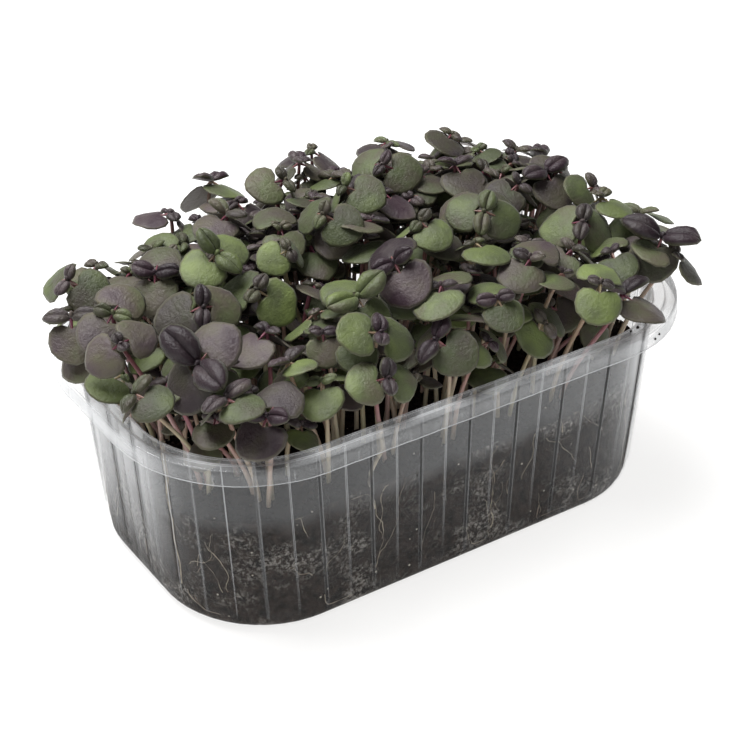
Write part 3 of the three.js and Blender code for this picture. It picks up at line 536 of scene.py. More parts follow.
def against_wall(travel, z, inset):
    """The point inside the wall at a distance round the punnet and a height."""
    row = outline(wall_size(z), inset, z)
    row = np.vstack([row, row[:1]])
    return [float(np.interp(travel % ROUND[-1], ROUND, row[:, axis])) for axis in range(3)]


thread_points, thread_edges, thread_fields = [], [], {"thick": [], "tint": []}


def lay_thread(points, thickness, tint):
    """Adds one thread that thins out along its points."""
    first = len(thread_points)
    for i, point in enumerate(points):
        thread_points.append(tuple(value * MM for value in point))
        thread_fields["thick"].append(thickness * (1 - 0.7 * i / len(points)) * MM)
        thread_fields["tint"].append(tint)
    thread_edges.extend((i, i + 1) for i in range(first, len(thread_points) - 1))


for _ in range(THREADS):
    travel, z = thread_draws.uniform(0, ROUND[-1]), thread_draws.uniform(8, 40)
    down = thread_draws.choice((-1, 1)) * math.pi / 2 + thread_draws.normal(0, 0.35)
    heading = down
    path = []
    for _ in range(int(thread_draws.uniform(5, 20))):
        path.append(against_wall(travel, z, THREAD_INSET))
        heading += 0.3 * (down - heading) + thread_draws.normal(0, THREAD_WANDER)
        travel += THREAD_STEP * math.cos(heading)
        z = min(max(z + THREAD_STEP * math.sin(heading), THREAD_LOWEST), THREAD_HIGHEST)
    lay_thread(path, thread_draws.uniform(0.05, 0.15), thread_draws.uniform(0, 1))

# The two stems: places round the punnet, heights and distances from its wall, then a thickness and a tint.
WALL_STEMS = (
    (((21.5, 62.0, 3.0), (21.5, 58.0, 2.6), (21.8, 53.5, 2.3), (19.5, 50.0, 2.2), (17.8, 47.0, 2.1),
      (17.0, 43.5, 2.0), (16.8, 40.0, 1.9), (17.6, 37.0, 1.6), (18.4, 34.0, 1.5)), 0.95, 0.05),
    (((-46.0, 62.0, 2.6), (-46.2, 56.0, 2.3), (-45.4, 50.0, 2.0), (-46.0, 43.0, 1.7), (-44.6, 36.0, 1.5),
      (-45.0, 28.0, 1.5), (-44.0, 20.0, 1.5), (-44.4, 12.0, 1.5)), 0.7, 0.3))
for places, thickness, tint in WALL_STEMS:
    lay_thread([against_wall(*place) for place in places], thickness, tint)
thread_mesh = bpy.data.meshes.new("thread_lines")
thread_mesh.from_pydata(thread_points, thread_edges, [])
for key, values in thread_fields.items():
    carry(thread_mesh, key, values)
thread_lines = stand("thread_lines", thread_mesh)

# Living root: waxy cream to tan, with a little soil on it.
root_skin, tree, shader = new_material("basil_root", {"Roughness": 0.6})
place = add(tree, "ShaderNodeTexCoord").outputs["Object"]
kind = add(tree, "ShaderNodeAttribute", {"attribute_name": "tint"}).outputs["Fac"]
cream = add(tree, "ShaderNodeMix", {"data_type": "RGBA"},
            {0: kind, 6: linear("#b8ae98"), 7: linear("#746355")})
stain = add(tree, "ShaderNodeTexNoise", None, {"Vector": place, "Scale": 380.0, "Detail": 3.0})
dirt = add(tree, "ShaderNodeMapRange", None,
           {"Value": stain, "From Min": 0.48, "From Max": 0.62, "To Max": 0.8})
stained = add(tree, "ShaderNodeMix", {"data_type": "RGBA"},
              {0: dirt, 6: cream.outputs[2], 7: linear("#4a4038")})
tree.links.new(stained.outputs[2], shader.inputs["Base Color"])

tree, start, finish = geometry_tree("root_threads", {"Thread sides": "Int"})
carried = add(tree, "GeometryNodeInputNamedAttribute", {"data_type": "FLOAT"}, {"Name": "thick"})
lines = add(tree, "GeometryNodeMeshToCurve", None, {"Mesh": start.outputs["Geometry"]})
circle = add(tree, "GeometryNodeCurvePrimitiveCircle", None,
             {"Resolution": start.outputs["Thread sides"], "Radius": 1.0})
tubes = add(tree, "GeometryNodeCurveToMesh", None,
            {"Curve": lines, "Profile Curve": circle.outputs["Curve"], "Scale": carried.outputs[0],
             "Fill Caps": True})
smooth_tubes = add(tree, "GeometryNodeSetShadeSmooth", None, {"Geometry": tubes})
finished = add(tree, "GeometryNodeSetMaterial", None, {"Geometry": smooth_tubes, "Material": root_skin})
tree.links.new(finished.outputs[0], finish.inputs[0])
roots = grown(thread_lines, "root_threads", tree, {"Thread sides": 5})
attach(roots, "root")

# ---- the seedlings -----------------------------------------------------------------------------
# Young purple basil, up to three to a place, each a slender juicy stem, a pair of broad seed leaves,
# and across them a pair of puckered true leaves with a bud between. Young leaves are deep purple
# and glossy, older ones turn grey-bronze and green and go matt.

SEED = 12
BED_SIZE = np.array([166.0, 97.0, 34.5])
ROWS = 6
ROW_PITCH = 15
SITE_PITCH = 20
SITE_JITTER = 1.6
SITE_EDGE = 8
SITES_ACROSS = 5
PER_SITE = 3
STEM_SPACING = 1.9
STEM_UPRIGHT = 0.35
STEM_PULL = 0.3
HOLE_DEPTH = 12
ROOT_LENGTH = 7
SEED_LEAF_REACH = 0.98
TRUE_LEAF_SLIM, TRUE_LEAF_LEAST = 0.5, 1.4
SEED_LEAF_SAG = 0.16
SEED_LEAF_CUP = 0.1
TRUE_LEAF_SAG = 0.2
TRIES = 260
LATE_SHRINK = 0.35
LATE_DROP = 14
CLEARANCE = 3.4
PUNNET_CLEARANCE = 2.2
CAD_SHEET = 0.8
NEIGHBOUR_REACH = 70
SIBLING_REACH = 14
HEAD_BELOW = 2
HEAD_DEPTH = 18
CANOPY_HEIGHT = 97
CANOPY_FALL = 11
FRONT_FALL = 9
SLACK_STEP = 0.03
SPREAD_X = 1.1
SPREAD_Y = 1.2
TAKEN = 0.9
HALF_GREEN = 0.42
HALF_PURPLE = 0.66

# The seedlings that stand out, each with the place of its head, the turn of its seed leaves, how far
# and which way it nods, the width of its seed leaves, the length of its true leaves, and the tints of
# both, from 0, leaf green, to 1, deep purple.
MARKED = (
    (-74, -27, 86, -166, 40, -149, 15, 15, 0.75, 1.0),
    (-63, -45, 74, -148, 31, -151, 14, 8, 0.8, 1.0),
    (-44, -41, 77, -131, 14, 163, 12, 5, 0.2, 0.3),
    (-31, -48, 73, 174, 40, -75, 12, 7, 0.35, 0.95),
    (-24, -44, 82, 172, 36, -83, 13, 7, 0.2, 0.95),
    (-8, -44, 80, -81, 38, -175, 13, 9, 0.4, 0.9),
    (7, -48, 73, 8, 38, -52, 12, 4, 0.3, 0.8),
    (12, -41, 67, -148, 14, -59, 12, 3, 0.3, 0.3),
    (25, -44, 78, -179, 36, -73, 13, 6, 0.1, 0.7),
    (17, -36, 88, 160, 36, -134, 15, 12, 0.15, 0.15),
    (57, -48, 76, 105, 21, 75, 15, 12, 0.7, 0.85),
    (77, -41, 86, -140, 21, -95, 14, 14, 0.5, 1.0),
    (-8, -23, 95, 75, 38, -155, 15, 8, 0.95, 1.0),
    (-22, -25, 89, 95, 21, -104, 14, 12, 0.2, 0.3),
    (-45, -9, 91, 126, 30, -133, 14, 6, 0.15, 0.6),
    (-62, -10, 90, 177, 38, -81, 14, 7, 0.6, 0.95),
    (-88, -6, 76, 22, 21, -27, 13, 3, 0.0, 0.2),
    (-65, 14, 92, -130, 25, -141, 13, 8, 0.5, 0.95),
    (-84, 4, 88, 41, 30, -99, 14, 6, 0.65, 0.5),
    (-92, 14, 86, 63, 8, -143, 13, 9, 0.6, 0.7),
    (-90, -10, 83, -179, 40, -120, 12, 4, 0.7, 0.7),
    (-84, 32, 87, 113, 34, -172, 13, 6, 0.35, 0.8),
    (-74, 36, 88, 26, 4, -70, 12, 5, 0.4, 0.5),
    (-50, 5, 95, -149, 25, -91, 13, 10, 0.2, 0.15),
    (-31, -3, 97, 10, 40, -80, 10, 4, 0.1, 0.6),
    (-34, 27, 96, -154, 12, -6, 13, 8, 0.6, 0.6),
    (-10, 34, 98, -178, 36, -61, 13, 5, 0.5, 0.5),
    (-12, 8, 98, 108, 36, -164, 13, 5, 0.3, 0.4),
    (2, 18, 99, 115, 36, 180, 13, 5, 0.3, 0.3),
    (21, 26, 98, 121, 36, -160, 13, 5, 0.4, 0.9),
    (44, 20, 94, 85, 18, 84, 15, 8, 0.55, 0.9),
    (70, 7, 90, -89, 11, -101, 14, 10, 0.6, 0.9),
    (61, -23, 88, 139, 34, -118, 14, 7, 0.4, 0.8),
    (32, -12, 95, 134, 34, -113, 13, 8, 0.3, 0.4),
    (81, -4, 86, -180, 40, -64, 12, 6, 0.35, 0.7),
    (50, -32, 86, -171, 11, -89, 13, 5, 0.5, 0.6),
    (10, -10, 97, 100, 15, -159, 12, 5, 0.3, 0.4),
    (54, 0, 93, -165, 23, -52, 13, 5, 0.6, 0.8),
)

lot = {"state": SEED}


def draw():
    """A repeatable draw between 0 and 1."""
    lot["state"] = lot["state"] * 16807 % 2147483647
    return lot["state"] / 2147483647


def between(low, high):
    """A draw between two values."""
    return low + (high - low) * draw()


def outside(x, y, length, width, corner):
    """Distance from a point to a rounded rectangle about the origin, negative inside it."""
    dx = np.abs(x) - (length / 2 - corner)
    dy = np.abs(y) - (width / 2 - corner)
    beyond = np.sqrt(np.maximum(dx, 0) ** 2 + np.maximum(dy, 0) ** 2)
    return beyond + np.minimum(np.maximum(dx, dy), 0) - corner


def make_sites():
    """Staggered rows of places to plant, each a little off its mark."""
    made = []
    for row in range(ROWS):
        y = (row - (ROWS - 1) / 2) * ROW_PITCH
        shift = 0 if row % 2 == 0 else SITE_PITCH / 2
        for column in range(-SITES_ACROSS, SITES_ACROSS + 1):
            site = {"x": column * SITE_PITCH + shift + between(-SITE_JITTER, SITE_JITTER),
                    "y": y + between(-SITE_JITTER, SITE_JITTER), "plans": []}
            if outside(site["x"], site["y"], *BED_SIZE) < -SITE_EDGE:
                made.append(site)
    return made


def head_way(plan, degrees, share=1.0):
    """A level direction at an angle, carried over with the head's nod."""
    tilt, toward, angle = (math.radians(value) for value in (plan["tilt"] * share, plan["toward"], degrees))
    dx, dy, mx, my = math.cos(angle), math.sin(angle), math.cos(toward), math.sin(toward)
    along = dx * mx + dy * my
    level = along * (math.cos(tilt) - 1)
    return np.array([dx + level * mx, dy + level * my, -along * math.sin(tilt)])


def head_axis(plan):
    """The way that a nodding head faces."""
    tilt, toward = math.radians(plan["tilt"]), math.radians(plan["toward"])
    return np.array([math.sin(tilt) * math.cos(toward), math.sin(tilt) * math.sin(toward), math.cos(tilt)])


def on_stem(plan, t):
    """Points of a stem: up out of the soil, bowed, and into the head along its axis."""
    head, axis = np.array(plan["head"]), head_axis(plan)
    x, y = plan["foot"]
    foot = float(soil_top(x, y))
    rise = head[2] - foot
    turn = math.radians(plan["bow_turn"])
    bow = plan["bow"] * np.array([math.cos(turn), math.sin(turn), 0.0])
    guide = ((x, y, foot - HOLE_DEPTH + ROOT_LENGTH / 2 + 1), (x, y, foot + STEM_UPRIGHT * rise),
             head - axis * STEM_PULL * rise + bow, head)
    s = 1 - t
    weights = (s ** 3, 3 * s * s * t, 3 * s * t * t, t ** 3)
    return sum(weight[:, None] * np.array(point) for weight, point in zip(weights, guide))


def leaves_of(plan):
    """Two seed leaves opposite each other and two true leaves across them, in order round the head."""
    made = []
    true_leaf_width = plan["leaf_length"] * TRUE_LEAF_SLIM + TRUE_LEAF_LEAST
    for index in range(4):
        seed_leaf = index % 2 == 0
        made.append({
            "seed_leaf": seed_leaf,
            "turn": plan["turn"] + 90 * index + (0 if seed_leaf else plan["twist"]),
            "length": plan["seed_width"] * SEED_LEAF_REACH if seed_leaf else plan["leaf_length"],
            "width": plan["seed_width"] if seed_leaf else true_leaf_width,
            "lift": math.radians(plan["lifts"][index]),
            "sag": SEED_LEAF_SAG if seed_leaf else TRUE_LEAF_SAG,
            "cup": SEED_LEAF_CUP if seed_leaf else 0.0,
        })
    return made


def on_leaf(plan, leaf, u, v):
    """Points of a leaf: u runs from the stem to the tip and v from one edge to the other."""
    out, side = head_way(plan, leaf["turn"]), head_way(plan, leaf["turn"] + 90)
    along, across = u * leaf["length"], v * leaf["width"] / 2
    bend = leaf["sag"] * u * u * leaf["length"] + leaf["cup"] * v * v * leaf["width"]
    up = along * math.sin(leaf["lift"]) - bend
    return (np.array(plan["head"]) + along[:, None] * math.cos(leaf["lift"]) * out + across[:, None] * side
            + up[:, None] * head_axis(plan))


SEED_LEAF_GUARDS = np.array([
    (0.15, 0), (0.4, -0.66), (0.4, -0.22), (0.4, 0.22), (0.4, 0.66), (0.62, -0.78), (0.62, -0.26),
    (0.62, 0.26), (0.62, 0.78), (0.84, -0.62), (0.84, -0.2), (0.84, 0.2), (0.84, 0.62)]).T
TRUE_LEAF_GUARDS = np.array([(0.2, 0), (0.45, -0.45), (0.45, 0.45), (0.72, -0.4), (0.72, 0.4), (0.95, 0)]).T
STEM_GUARDS = np.arange(4, 21) / 20


def guard_points(plan):
    """Points all over a seedling that must keep clear of every other seedling's."""
    rows = [on_stem(plan, STEM_GUARDS)]
    for leaf in leaves_of(plan):
        rows.append(on_leaf(plan, leaf, *(SEED_LEAF_GUARDS if leaf["seed_leaf"] else TRUE_LEAF_GUARDS)))
    return np.concatenate(rows)


placed = {"guards": np.zeros((0, 3)), "sites": np.zeros(0, int), "feet": np.zeros((0, 2))}


def clear_of_punnet(guards):
    """Whether points keep off the punnet: inside the wall, or well above the rim."""
    rise = (guards[:, 2] - FOOT_RADIUS) / (WALL_TOP - FOOT_RADIUS)
    length = BED_SIZE[0] + (RIM_SIZE[0] - 2 * FLANGE_WIDTH - BED_SIZE[0]) * rise
    width = BED_SIZE[1] + (RIM_SIZE[1] - 2 * FLANGE_WIDTH - BED_SIZE[1]) * rise
    inside = outside(guards[:, 0], guards[:, 1], length, width, BED_SIZE[2])
    hold = CAD_SHEET + PLEAT_DEPTH + PUNNET_CLEARANCE
    return bool(np.all((guards[:, 2] > PUNNET_HEIGHT + PUNNET_CLEARANCE) | (inside < -hold)))


def is_clear(guards, site_index, clearance=CLEARANCE):
    """Whether a seedling keeps off the punnet and off all that stand already."""
    if not clear_of_punnet(guards):
        return False
    low, high = guards.min(0) - clearance, guards.max(0) + clearance
    others = placed["guards"]
    away = placed["feet"] - guards[0, :2]
    near = (away ** 2).sum(1) <= NEIGHBOUR_REACH ** 2
    near &= np.all((others > low) & (others < high), axis=1)
    sibling = placed["sites"] == site_index
    upper = guards[guards[:, 2] >= SOIL_DEPTH + SIBLING_REACH]
    for group, own in ((near & ~sibling, guards), (near & sibling, upper)):
        if group.any() and len(own):
            gaps = own[:, None, :] - others[group][None, :, :]
            if ((gaps ** 2).sum(2) < clearance ** 2).any():
                return False
    return True


def free_way(site, lean):
    """The free side of a site's root nearest to the way that a seedling leans."""
    if not site["plans"]:
        return lean
    best = None
    for k in range(1, PER_SITE):
        way = site["plans"][0]["way"] + k * 2 * math.pi / PER_SITE
        taken = any(math.cos(plan["way"] - way) > TAKEN for plan in site["plans"])
        if not taken and (best is None or math.cos(way - lean) > math.cos(best - lean)):
            best = way
    return best


def keep(guards, site_index):
    """Notes a seedling that now stands, so that later ones keep off it."""
    placed["guards"] = np.concatenate([placed["guards"], guards])
    placed["sites"] = np.concatenate([placed["sites"], np.full(len(guards), site_index)])
    placed["feet"] = np.concatenate([placed["feet"], np.tile(guards[0, :2], (len(guards), 1))])


def settle(site, site_index, suggest):
    """Tries plans for a site until one is clear of all that stand already."""
    for attempt in range(TRIES):
        plan = suggest(attempt)
        lean = math.atan2(plan["head"][1] - site["y"], plan["head"][0] - site["x"])
        plan["way"] = free_way(site, lean)
        plan["foot"] = (site["x"] + STEM_SPACING * math.cos(plan["way"]),
                        site["y"] + STEM_SPACING * math.sin(plan["way"]))
        guards = guard_points(plan)
        if is_clear(guards, site_index):
            site["plans"].append(plan)
            keep(guards, site_index)
            return True
    return False


def draw_habit():
    """The small differences that every seedling draws for itself."""
    habit = {"bow": between(0, 5), "bow_turn": between(0, 360)}
    habit["lifts"] = [between(-38, 2), between(8, 40), between(-38, 2), between(8, 40)]
    habit["twist"] = between(-12, 12)
    return habit


def marked_plan(row, attempt):
    """A seedling that stands out: the later the try, the further it strays from its figures."""
    slack = SLACK_STEP * attempt
    plan = draw_habit()
    plan["head"] = (row[0] + slack * between(-1, 1), row[1] + slack * between(-1, 1),
                    row[2] + 1.5 * slack * between(-1, 1))
    plan["turn"] = row[3] + 4 * slack * between(-1, 1)
    for key, value in zip(("tilt", "toward", "seed_width", "leaf_length", "seed_tint", "leaf_tint"), row[4:]):
        plan[key] = value
    return plan


def canopy_top(x, y):
    """The height of the canopy: highest in the middle, lower towards both ends and the front."""
    return CANOPY_HEIGHT - CANOPY_FALL * (x / 90) ** 2 - FRONT_FALL * max(0, -y / 50 - 0.3)


def common_plan(site, attempt):
    """Any other seedling. The later the try, the smaller it is and the lower it stands."""
    late = attempt / TRIES
    size = 1 - LATE_SHRINK * late
    plan = draw_habit()
    reach, way = between(2, 15), math.radians(between(0, 360))
    x, y = SPREAD_X * site["x"] + reach * math.cos(way), SPREAD_Y * site["y"] + reach * math.sin(way)
    depth, tint = draw(), draw()
    plan["head"] = (x, y, canopy_top(x, y) - HEAD_BELOW - (HEAD_DEPTH + LATE_DROP * late) * depth * depth)
    plan["turn"], plan["tilt"], plan["toward"] = between(0, 360), between(4, 30), math.degrees(way)
    plan["seed_width"] = size * between(12.5, 15)
    plan["leaf_length"] = size * (4.5 + 7 * draw() * draw())
    plan["seed_tint"], plan["leaf_tint"] = 0.1 + 0.8 * tint, 0.35 + 0.65 * draw()
    return plan


sites = make_sites()
for row in MARKED:
    best = None
    for index, site in enumerate(sites):
        far = (site["x"] - row[0] / SPREAD_X) ** 2 + (site["y"] - row[1] / SPREAD_Y) ** 2
        if len(site["plans"]) < PER_SITE and (best is None or far < best[0]):
            best = (far, index)
    settle(sites[best[1]], best[1], lambda attempt: marked_plan(row, attempt))
for index, site in enumerate(sites):
    settled = True
    while settled and len(site["plans"]) < PER_SITE:
        settled = settle(site, index, lambda attempt: common_plan(site, attempt))
sites = [site for site in sites if site["plans"]]

# Later seedlings come up all over between the first ones, wherever the leaves leave room, then small low
# ones in their shade behind the front row, and the last fill out the back. Each layer has its clearance,
# the widths of its seed leaves, how far below the canopy its heads stand, and how far forward it grows.
# Those that lean out over the back are thinned out.
LATE_TRIES = 70
LATE_LAYERS = ((1.5, (12, 15), (2, 30), -34), (1.2, (10, 13), (13, 22), -22), (0.9, (10, 13), (3, 14), 8))
LATE_LEAN = 0.04
LATE_ROWS, LATE_COLUMNS = range(-7, 8), range(-11, 12)
LATE_PITCH, LATE_ROW_PITCH = 8.0, 0.87
LATE_JITTER = 2
LATE_EDGE = 5
LATE_BACK = 50
LATE_SMALLER = 0.3
BOX_HOLD = 1.2
NO_SITE, STANDS_ALONE = -1, -2
late_room = [np.array(corner) / MM + hold for corner, hold in zip(cad_box, (BOX_HOLD, -BOX_HOLD))]


def late_plan(x, y, late, widths, drops):
    """A later seedling: the later the try, the smaller it is and the lower it stands."""
    size = 1 - LATE_SMALLER * late
    plan = draw_habit()
    plan["foot"] = (x, y)
    reach, way = between(0, 9), math.radians(between(0, 360))
    x, y = SPREAD_X * x + reach * math.cos(way), SPREAD_Y * y + reach * math.sin(way)
    low = HEAD_BELOW + drops[0] + drops[1] * late * draw()
    plan["head"] = (x, y, canopy_top(x, y) + LATE_LEAN * x - low)
    plan["turn"], plan["tilt"], plan["toward"] = between(0, 360), between(4, 34), math.degrees(way)
    plan["seed_width"] = size * between(*widths)
    plan["leaf_length"] = size * (4 + 6 * draw() * draw())
    plan["seed_tint"], plan["leaf_tint"] = 0.05 + 0.75 * draw(), 0.35 + 0.65 * draw()
    return plan


late_plans = []
for clearance, widths, drops, front in LATE_LAYERS:
    for row in LATE_ROWS:
        for column in LATE_COLUMNS:
            x = (column + 0.5 * (row % 2)) * LATE_PITCH + between(-LATE_JITTER, LATE_JITTER)
            y = row * LATE_PITCH * LATE_ROW_PITCH + between(-LATE_JITTER, LATE_JITTER)
            if outside(x, y, *BED_SIZE) > -LATE_EDGE or y < front:
                continue
            for attempt in range(LATE_TRIES):
                plan = late_plan(x, y, attempt / LATE_TRIES, widths, drops)
                guards = guard_points(plan)
                fits = np.all(guards > late_room[0]) and np.all(guards < late_room[1])
                if fits and is_clear(guards, NO_SITE, clearance):
                    late_plans.append(plan)
                    keep(guards, STANDS_ALONE)
                    break
late_plans = [plan for plan in late_plans if plan["head"][1] < LATE_BACK]

# Basil leaf: satin, finely grained, with sunk veins about 1.5 mm apart and a sunk midrib, both darkened
# with painted shade, a thin paler edge, and a paler, pinker underside. Young true leaves are glossier than
# seed leaves.


def leaf_material(name, roughness, vein_depth_and_shade):
    """A leaf's finish, coloured by the tint that each seedling carries."""
    material, tree, shader = new_material(name, {
        "Roughness": roughness, "IOR": 1.42, "Sheen Weight": 0.12, "Sheen Roughness": 0.4})
    place = add(tree, "ShaderNodeTexCoord").outputs["Object"]
    read = {}
    for key in ("tint", "tone", "along", "across", "edge", "under"):
        read[key] = add(tree, "ShaderNodeAttribute", {"attribute_name": key}).outputs["Fac"]
    blotch = add(tree, "ShaderNodeTexNoise", None, {"Vector": place, "Scale": 115.0, "Detail": 4.0})
    shift = add(tree, "ShaderNodeMapRange", None,
                {"Value": blotch, "From Min": 0.3, "From Max": 0.7, "To Min": -0.24, "To Max": 0.24})
    tinted = add(tree, "ShaderNodeMath", {"operation": "ADD", "use_clamp": True}, {0: read["tint"], 1: shift})
    colours = add(tree, "ShaderNodeValToRGB", None, {"Fac": tinted})
    stops = ((0.0, "#626e3e"), (0.3, "#4e5638"), (0.55, "#4c473a"), (0.78, "#473d3e"), (1.0, "#2c1d25"))
    while len(colours.color_ramp.elements) < len(stops):
        colours.color_ramp.elements.new(0.5)
    for element, (position, code) in zip(colours.color_ramp.elements, stops):
        element.position = position
        element.color = linear(code)
    level = add(tree, "ShaderNodeMapRange", None, {"Value": read["tone"], "To Min": 0.56, "To Max": 1.42})
    lit = add(tree, "ShaderNodeHueSaturation", None, {"Color": colours, "Value": level})
    rim = add(tree, "ShaderNodeMapRange", None,
              {"Value": read["edge"], "From Min": 0.86, "From Max": 1.0, "To Min": 0.0, "To Max": 0.42})
    edged = add(tree, "ShaderNodeMix", {"data_type": "RGBA"}, {0: rim, 6: lit, 7: linear("#6f744f")})
    down = add(tree, "ShaderNodeMath", {"operation": "MULTIPLY"}, {0: read["under"], 1: 0.55})
    sided = add(tree, "ShaderNodeMix", {"data_type": "RGBA"},
                {0: down, 6: edged.outputs[2], 7: linear("#7d6a6c")})
    spread = add(tree, "ShaderNodeMath", {"operation": "ABSOLUTE"}, {0: read["across"]})
    slant = add(tree, "ShaderNodeMath", {"operation": "MULTIPLY_ADD"},
                {0: spread, 1: -0.42, 2: read["along"]})
    veins = add(tree, "ShaderNodeMath", {"operation": "SINE"},
                {0: add(tree, "ShaderNodeMath", {"operation": "MULTIPLY"}, {0: slant, 1: 38.0})})
    ribs = add(tree, "ShaderNodeMapRange", None,
               {"Value": veins, "From Min": 0.72, "From Max": 1.0, "To Min": 0.0, "To Max": 0.12})
    midrib = add(tree, "ShaderNodeMapRange", None,
                 {"Value": spread, "From Min": 0.0, "From Max": 0.07, "To Min": 1.0, "To Max": 0.0})
    net = add(tree, "ShaderNodeMath", {"operation": "MAXIMUM"}, {0: ribs, 1: midrib})
    # Painted shade: the sunk veins and the midrib are darkened towards #241c22.
    vein_shade = add(tree, "ShaderNodeMath", {"operation": "MULTIPLY"}, {0: net, 1: vein_depth_and_shade})
    vein_shaded = add(tree, "ShaderNodeMix", {"data_type": "RGBA"},
                 {0: vein_shade, 6: sided.outputs[2], 7: linear("#241c22")})
    tree.links.new(vein_shaded.outputs[2], shader.inputs["Base Color"])
    grain = add(tree, "ShaderNodeTexNoise", None,
                {"Vector": place, "Scale": 900.0, "Detail": 4.0, "Roughness": 0.7})
    dip = add(tree, "ShaderNodeMath", {"operation": "MULTIPLY_ADD"}, {0: net, 1: -vein_depth_and_shade, 2: grain})
    bump = add(tree, "ShaderNodeBump", None, {"Height": dip, "Strength": 0.6, "Distance": 0.0007})
    tree.links.new(bump.outputs[0], shader.inputs["Normal"])
    return material


# Seed leaves get little painted shade in their veins, true leaves much, most along the midrib.
seed_leaf_skin = leaf_material("basil_seed_leaf", 0.44, 0.06)
true_leaf_skin = leaf_material("basil_true_leaf", 0.36, 0.7)

# Basil stem: juicy and half translucent, crimson under the leaves and pale green-cream at the foot.
stem_skin, tree, shader = new_material("basil_stem", {
    "Roughness": 0.38, "IOR": 1.4, "Subsurface Weight": 0.15, "Subsurface Radius": (0.9, 0.5, 0.35),
    "Subsurface Scale": 0.001})
place = add(tree, "ShaderNodeTexCoord").outputs["Object"]
height, blush, own = (add(tree, "ShaderNodeAttribute", {"attribute_name": key}).outputs["Fac"]
                      for key in ("rise", "tint", "tone"))
stripe = add(tree, "ShaderNodeTexNoise", None, {"Vector": place, "Scale": 260.0, "Detail": 2.0})
wander = add(tree, "ShaderNodeMapRange", None, {"Value": stripe, "To Min": -0.12, "To Max": 0.12})
raised = add(tree, "ShaderNodeMath", {"operation": "ADD", "use_clamp": True}, {0: height, 1: wander})
tones = []
for codes in (("#cbc5ac", "#c5baa0", "#b09a86", "#7a5054"), ("#bfa79a", "#b0878a", "#9d5f6b", "#5f2d3e")):
    climb = add(tree, "ShaderNodeValToRGB", None, {"Fac": raised})
    for position in (0.45, 0.75):
        climb.color_ramp.elements.new(position)
    for element, code in zip(climb.color_ramp.elements, codes):
        element.color = linear(code)
    tones.append(climb)
climb = add(tree, "ShaderNodeMix", {"data_type": "RGBA"}, {0: own, 6: tones[0], 7: tones[1]}).outputs[2]
green = add(tree, "ShaderNodeMapRange", None,
            {"Value": blush, "From Min": 0.1, "From Max": 0.4, "To Min": 0.45, "To Max": 0.0})
blushed = add(tree, "ShaderNodeMix", {"data_type": "RGBA"}, {0: green, 6: climb, 7: linear("#9aa06c")})
tree.links.new(blushed.outputs[2], shader.inputs["Base Color"])

# A flat seed leaf, one unit long from the stem and two across: a broad D with square shoulders. Its
# half outline runs from the stalk to the tip.
SEED_LEAF_HALF = ((0.23, 0.0), (0.13, 0.4), (0.11, 0.78), (0.21, 1.03), (0.42, 1.09), (0.63, 0.96),
                  (0.81, 0.7), (0.925, 0.36), (0.97, 0.0))
SEED_LEAF_MIDDLE = 0.55


def template(name, points, faces, attributes):
    """A leaf's shape before it is placed and bent."""
    mesh = bpy.data.meshes.new(name)
    mesh.from_pydata(points, [], faces)
    mesh.shade_smooth()
    for key, values in attributes.items():
        carry(mesh, key, values)
    return stand(name, mesh)


def seed_leaf_template():
    """A thin blade: its face, its underside, and the edge that they share."""
    border = list(SEED_LEAF_HALF) + [(u, -v) for u, v in SEED_LEAF_HALF[-2:0:-1]]
    count = len(border)
    points = [(SEED_LEAF_MIDDLE, 0.0, 0.5), (SEED_LEAF_MIDDLE, 0.0, -0.5)]
    edge, under = [0.0, 0.0], [0.0, 1.0]
    layers = ((0.55, 0.5, 0.0), (0.88, 0.42, 0.0), (1.0, 0.0, 0.4), (0.88, -0.42, 1.0))
    for share, rise, below in layers:
        for u, v in border:
            points.append((SEED_LEAF_MIDDLE + share * (u - SEED_LEAF_MIDDLE), share * v, rise))
            edge.append(share)
            under.append(below)
    faces = []
    for i in range(count):
        j = (i + 1) % count
        rows = [2 + count * layer for layer in range(len(layers))]
        faces.append((0, rows[0] + j, rows[0] + i))
        faces += [(low + i, low + j, high + j, high + i) for low, high in zip(rows, rows[1:])]
        faces.append((1, rows[-1] + i, rows[-1] + j))
    flat = np.array(points)
    return template("seed_leaf_shape", points, faces, {
        "along": flat[:, 0], "across": flat[:, 1], "edge": edge, "under": under})


# A true leaf: an egg-shaped blade whose two halves swell up either side of a sunk midrib. Each row is
# a place along it, its half width and how far it swells, and each column a place across and its rise.
TRUE_LEAF_ROWS = ((0.04, 0.3, 0.25), (0.16, 0.76, 0.76), (0.34, 1.06, 1.0), (0.55, 1.12, 1.04),
                  (0.75, 0.94, 0.88), (0.91, 0.55, 0.52))
TRUE_LEAF_COLUMNS = ((-1, 0.0), (-0.76, 0.74), (-0.42, 1.05), (-0.1, 0.8), (0, 0.3), (0.1, 0.8), (0.42, 1.05),
                     (0.76, 0.74), (1, 0.0))
TRUE_LEAF_TIP = 1.0
HOLLOW = -0.3


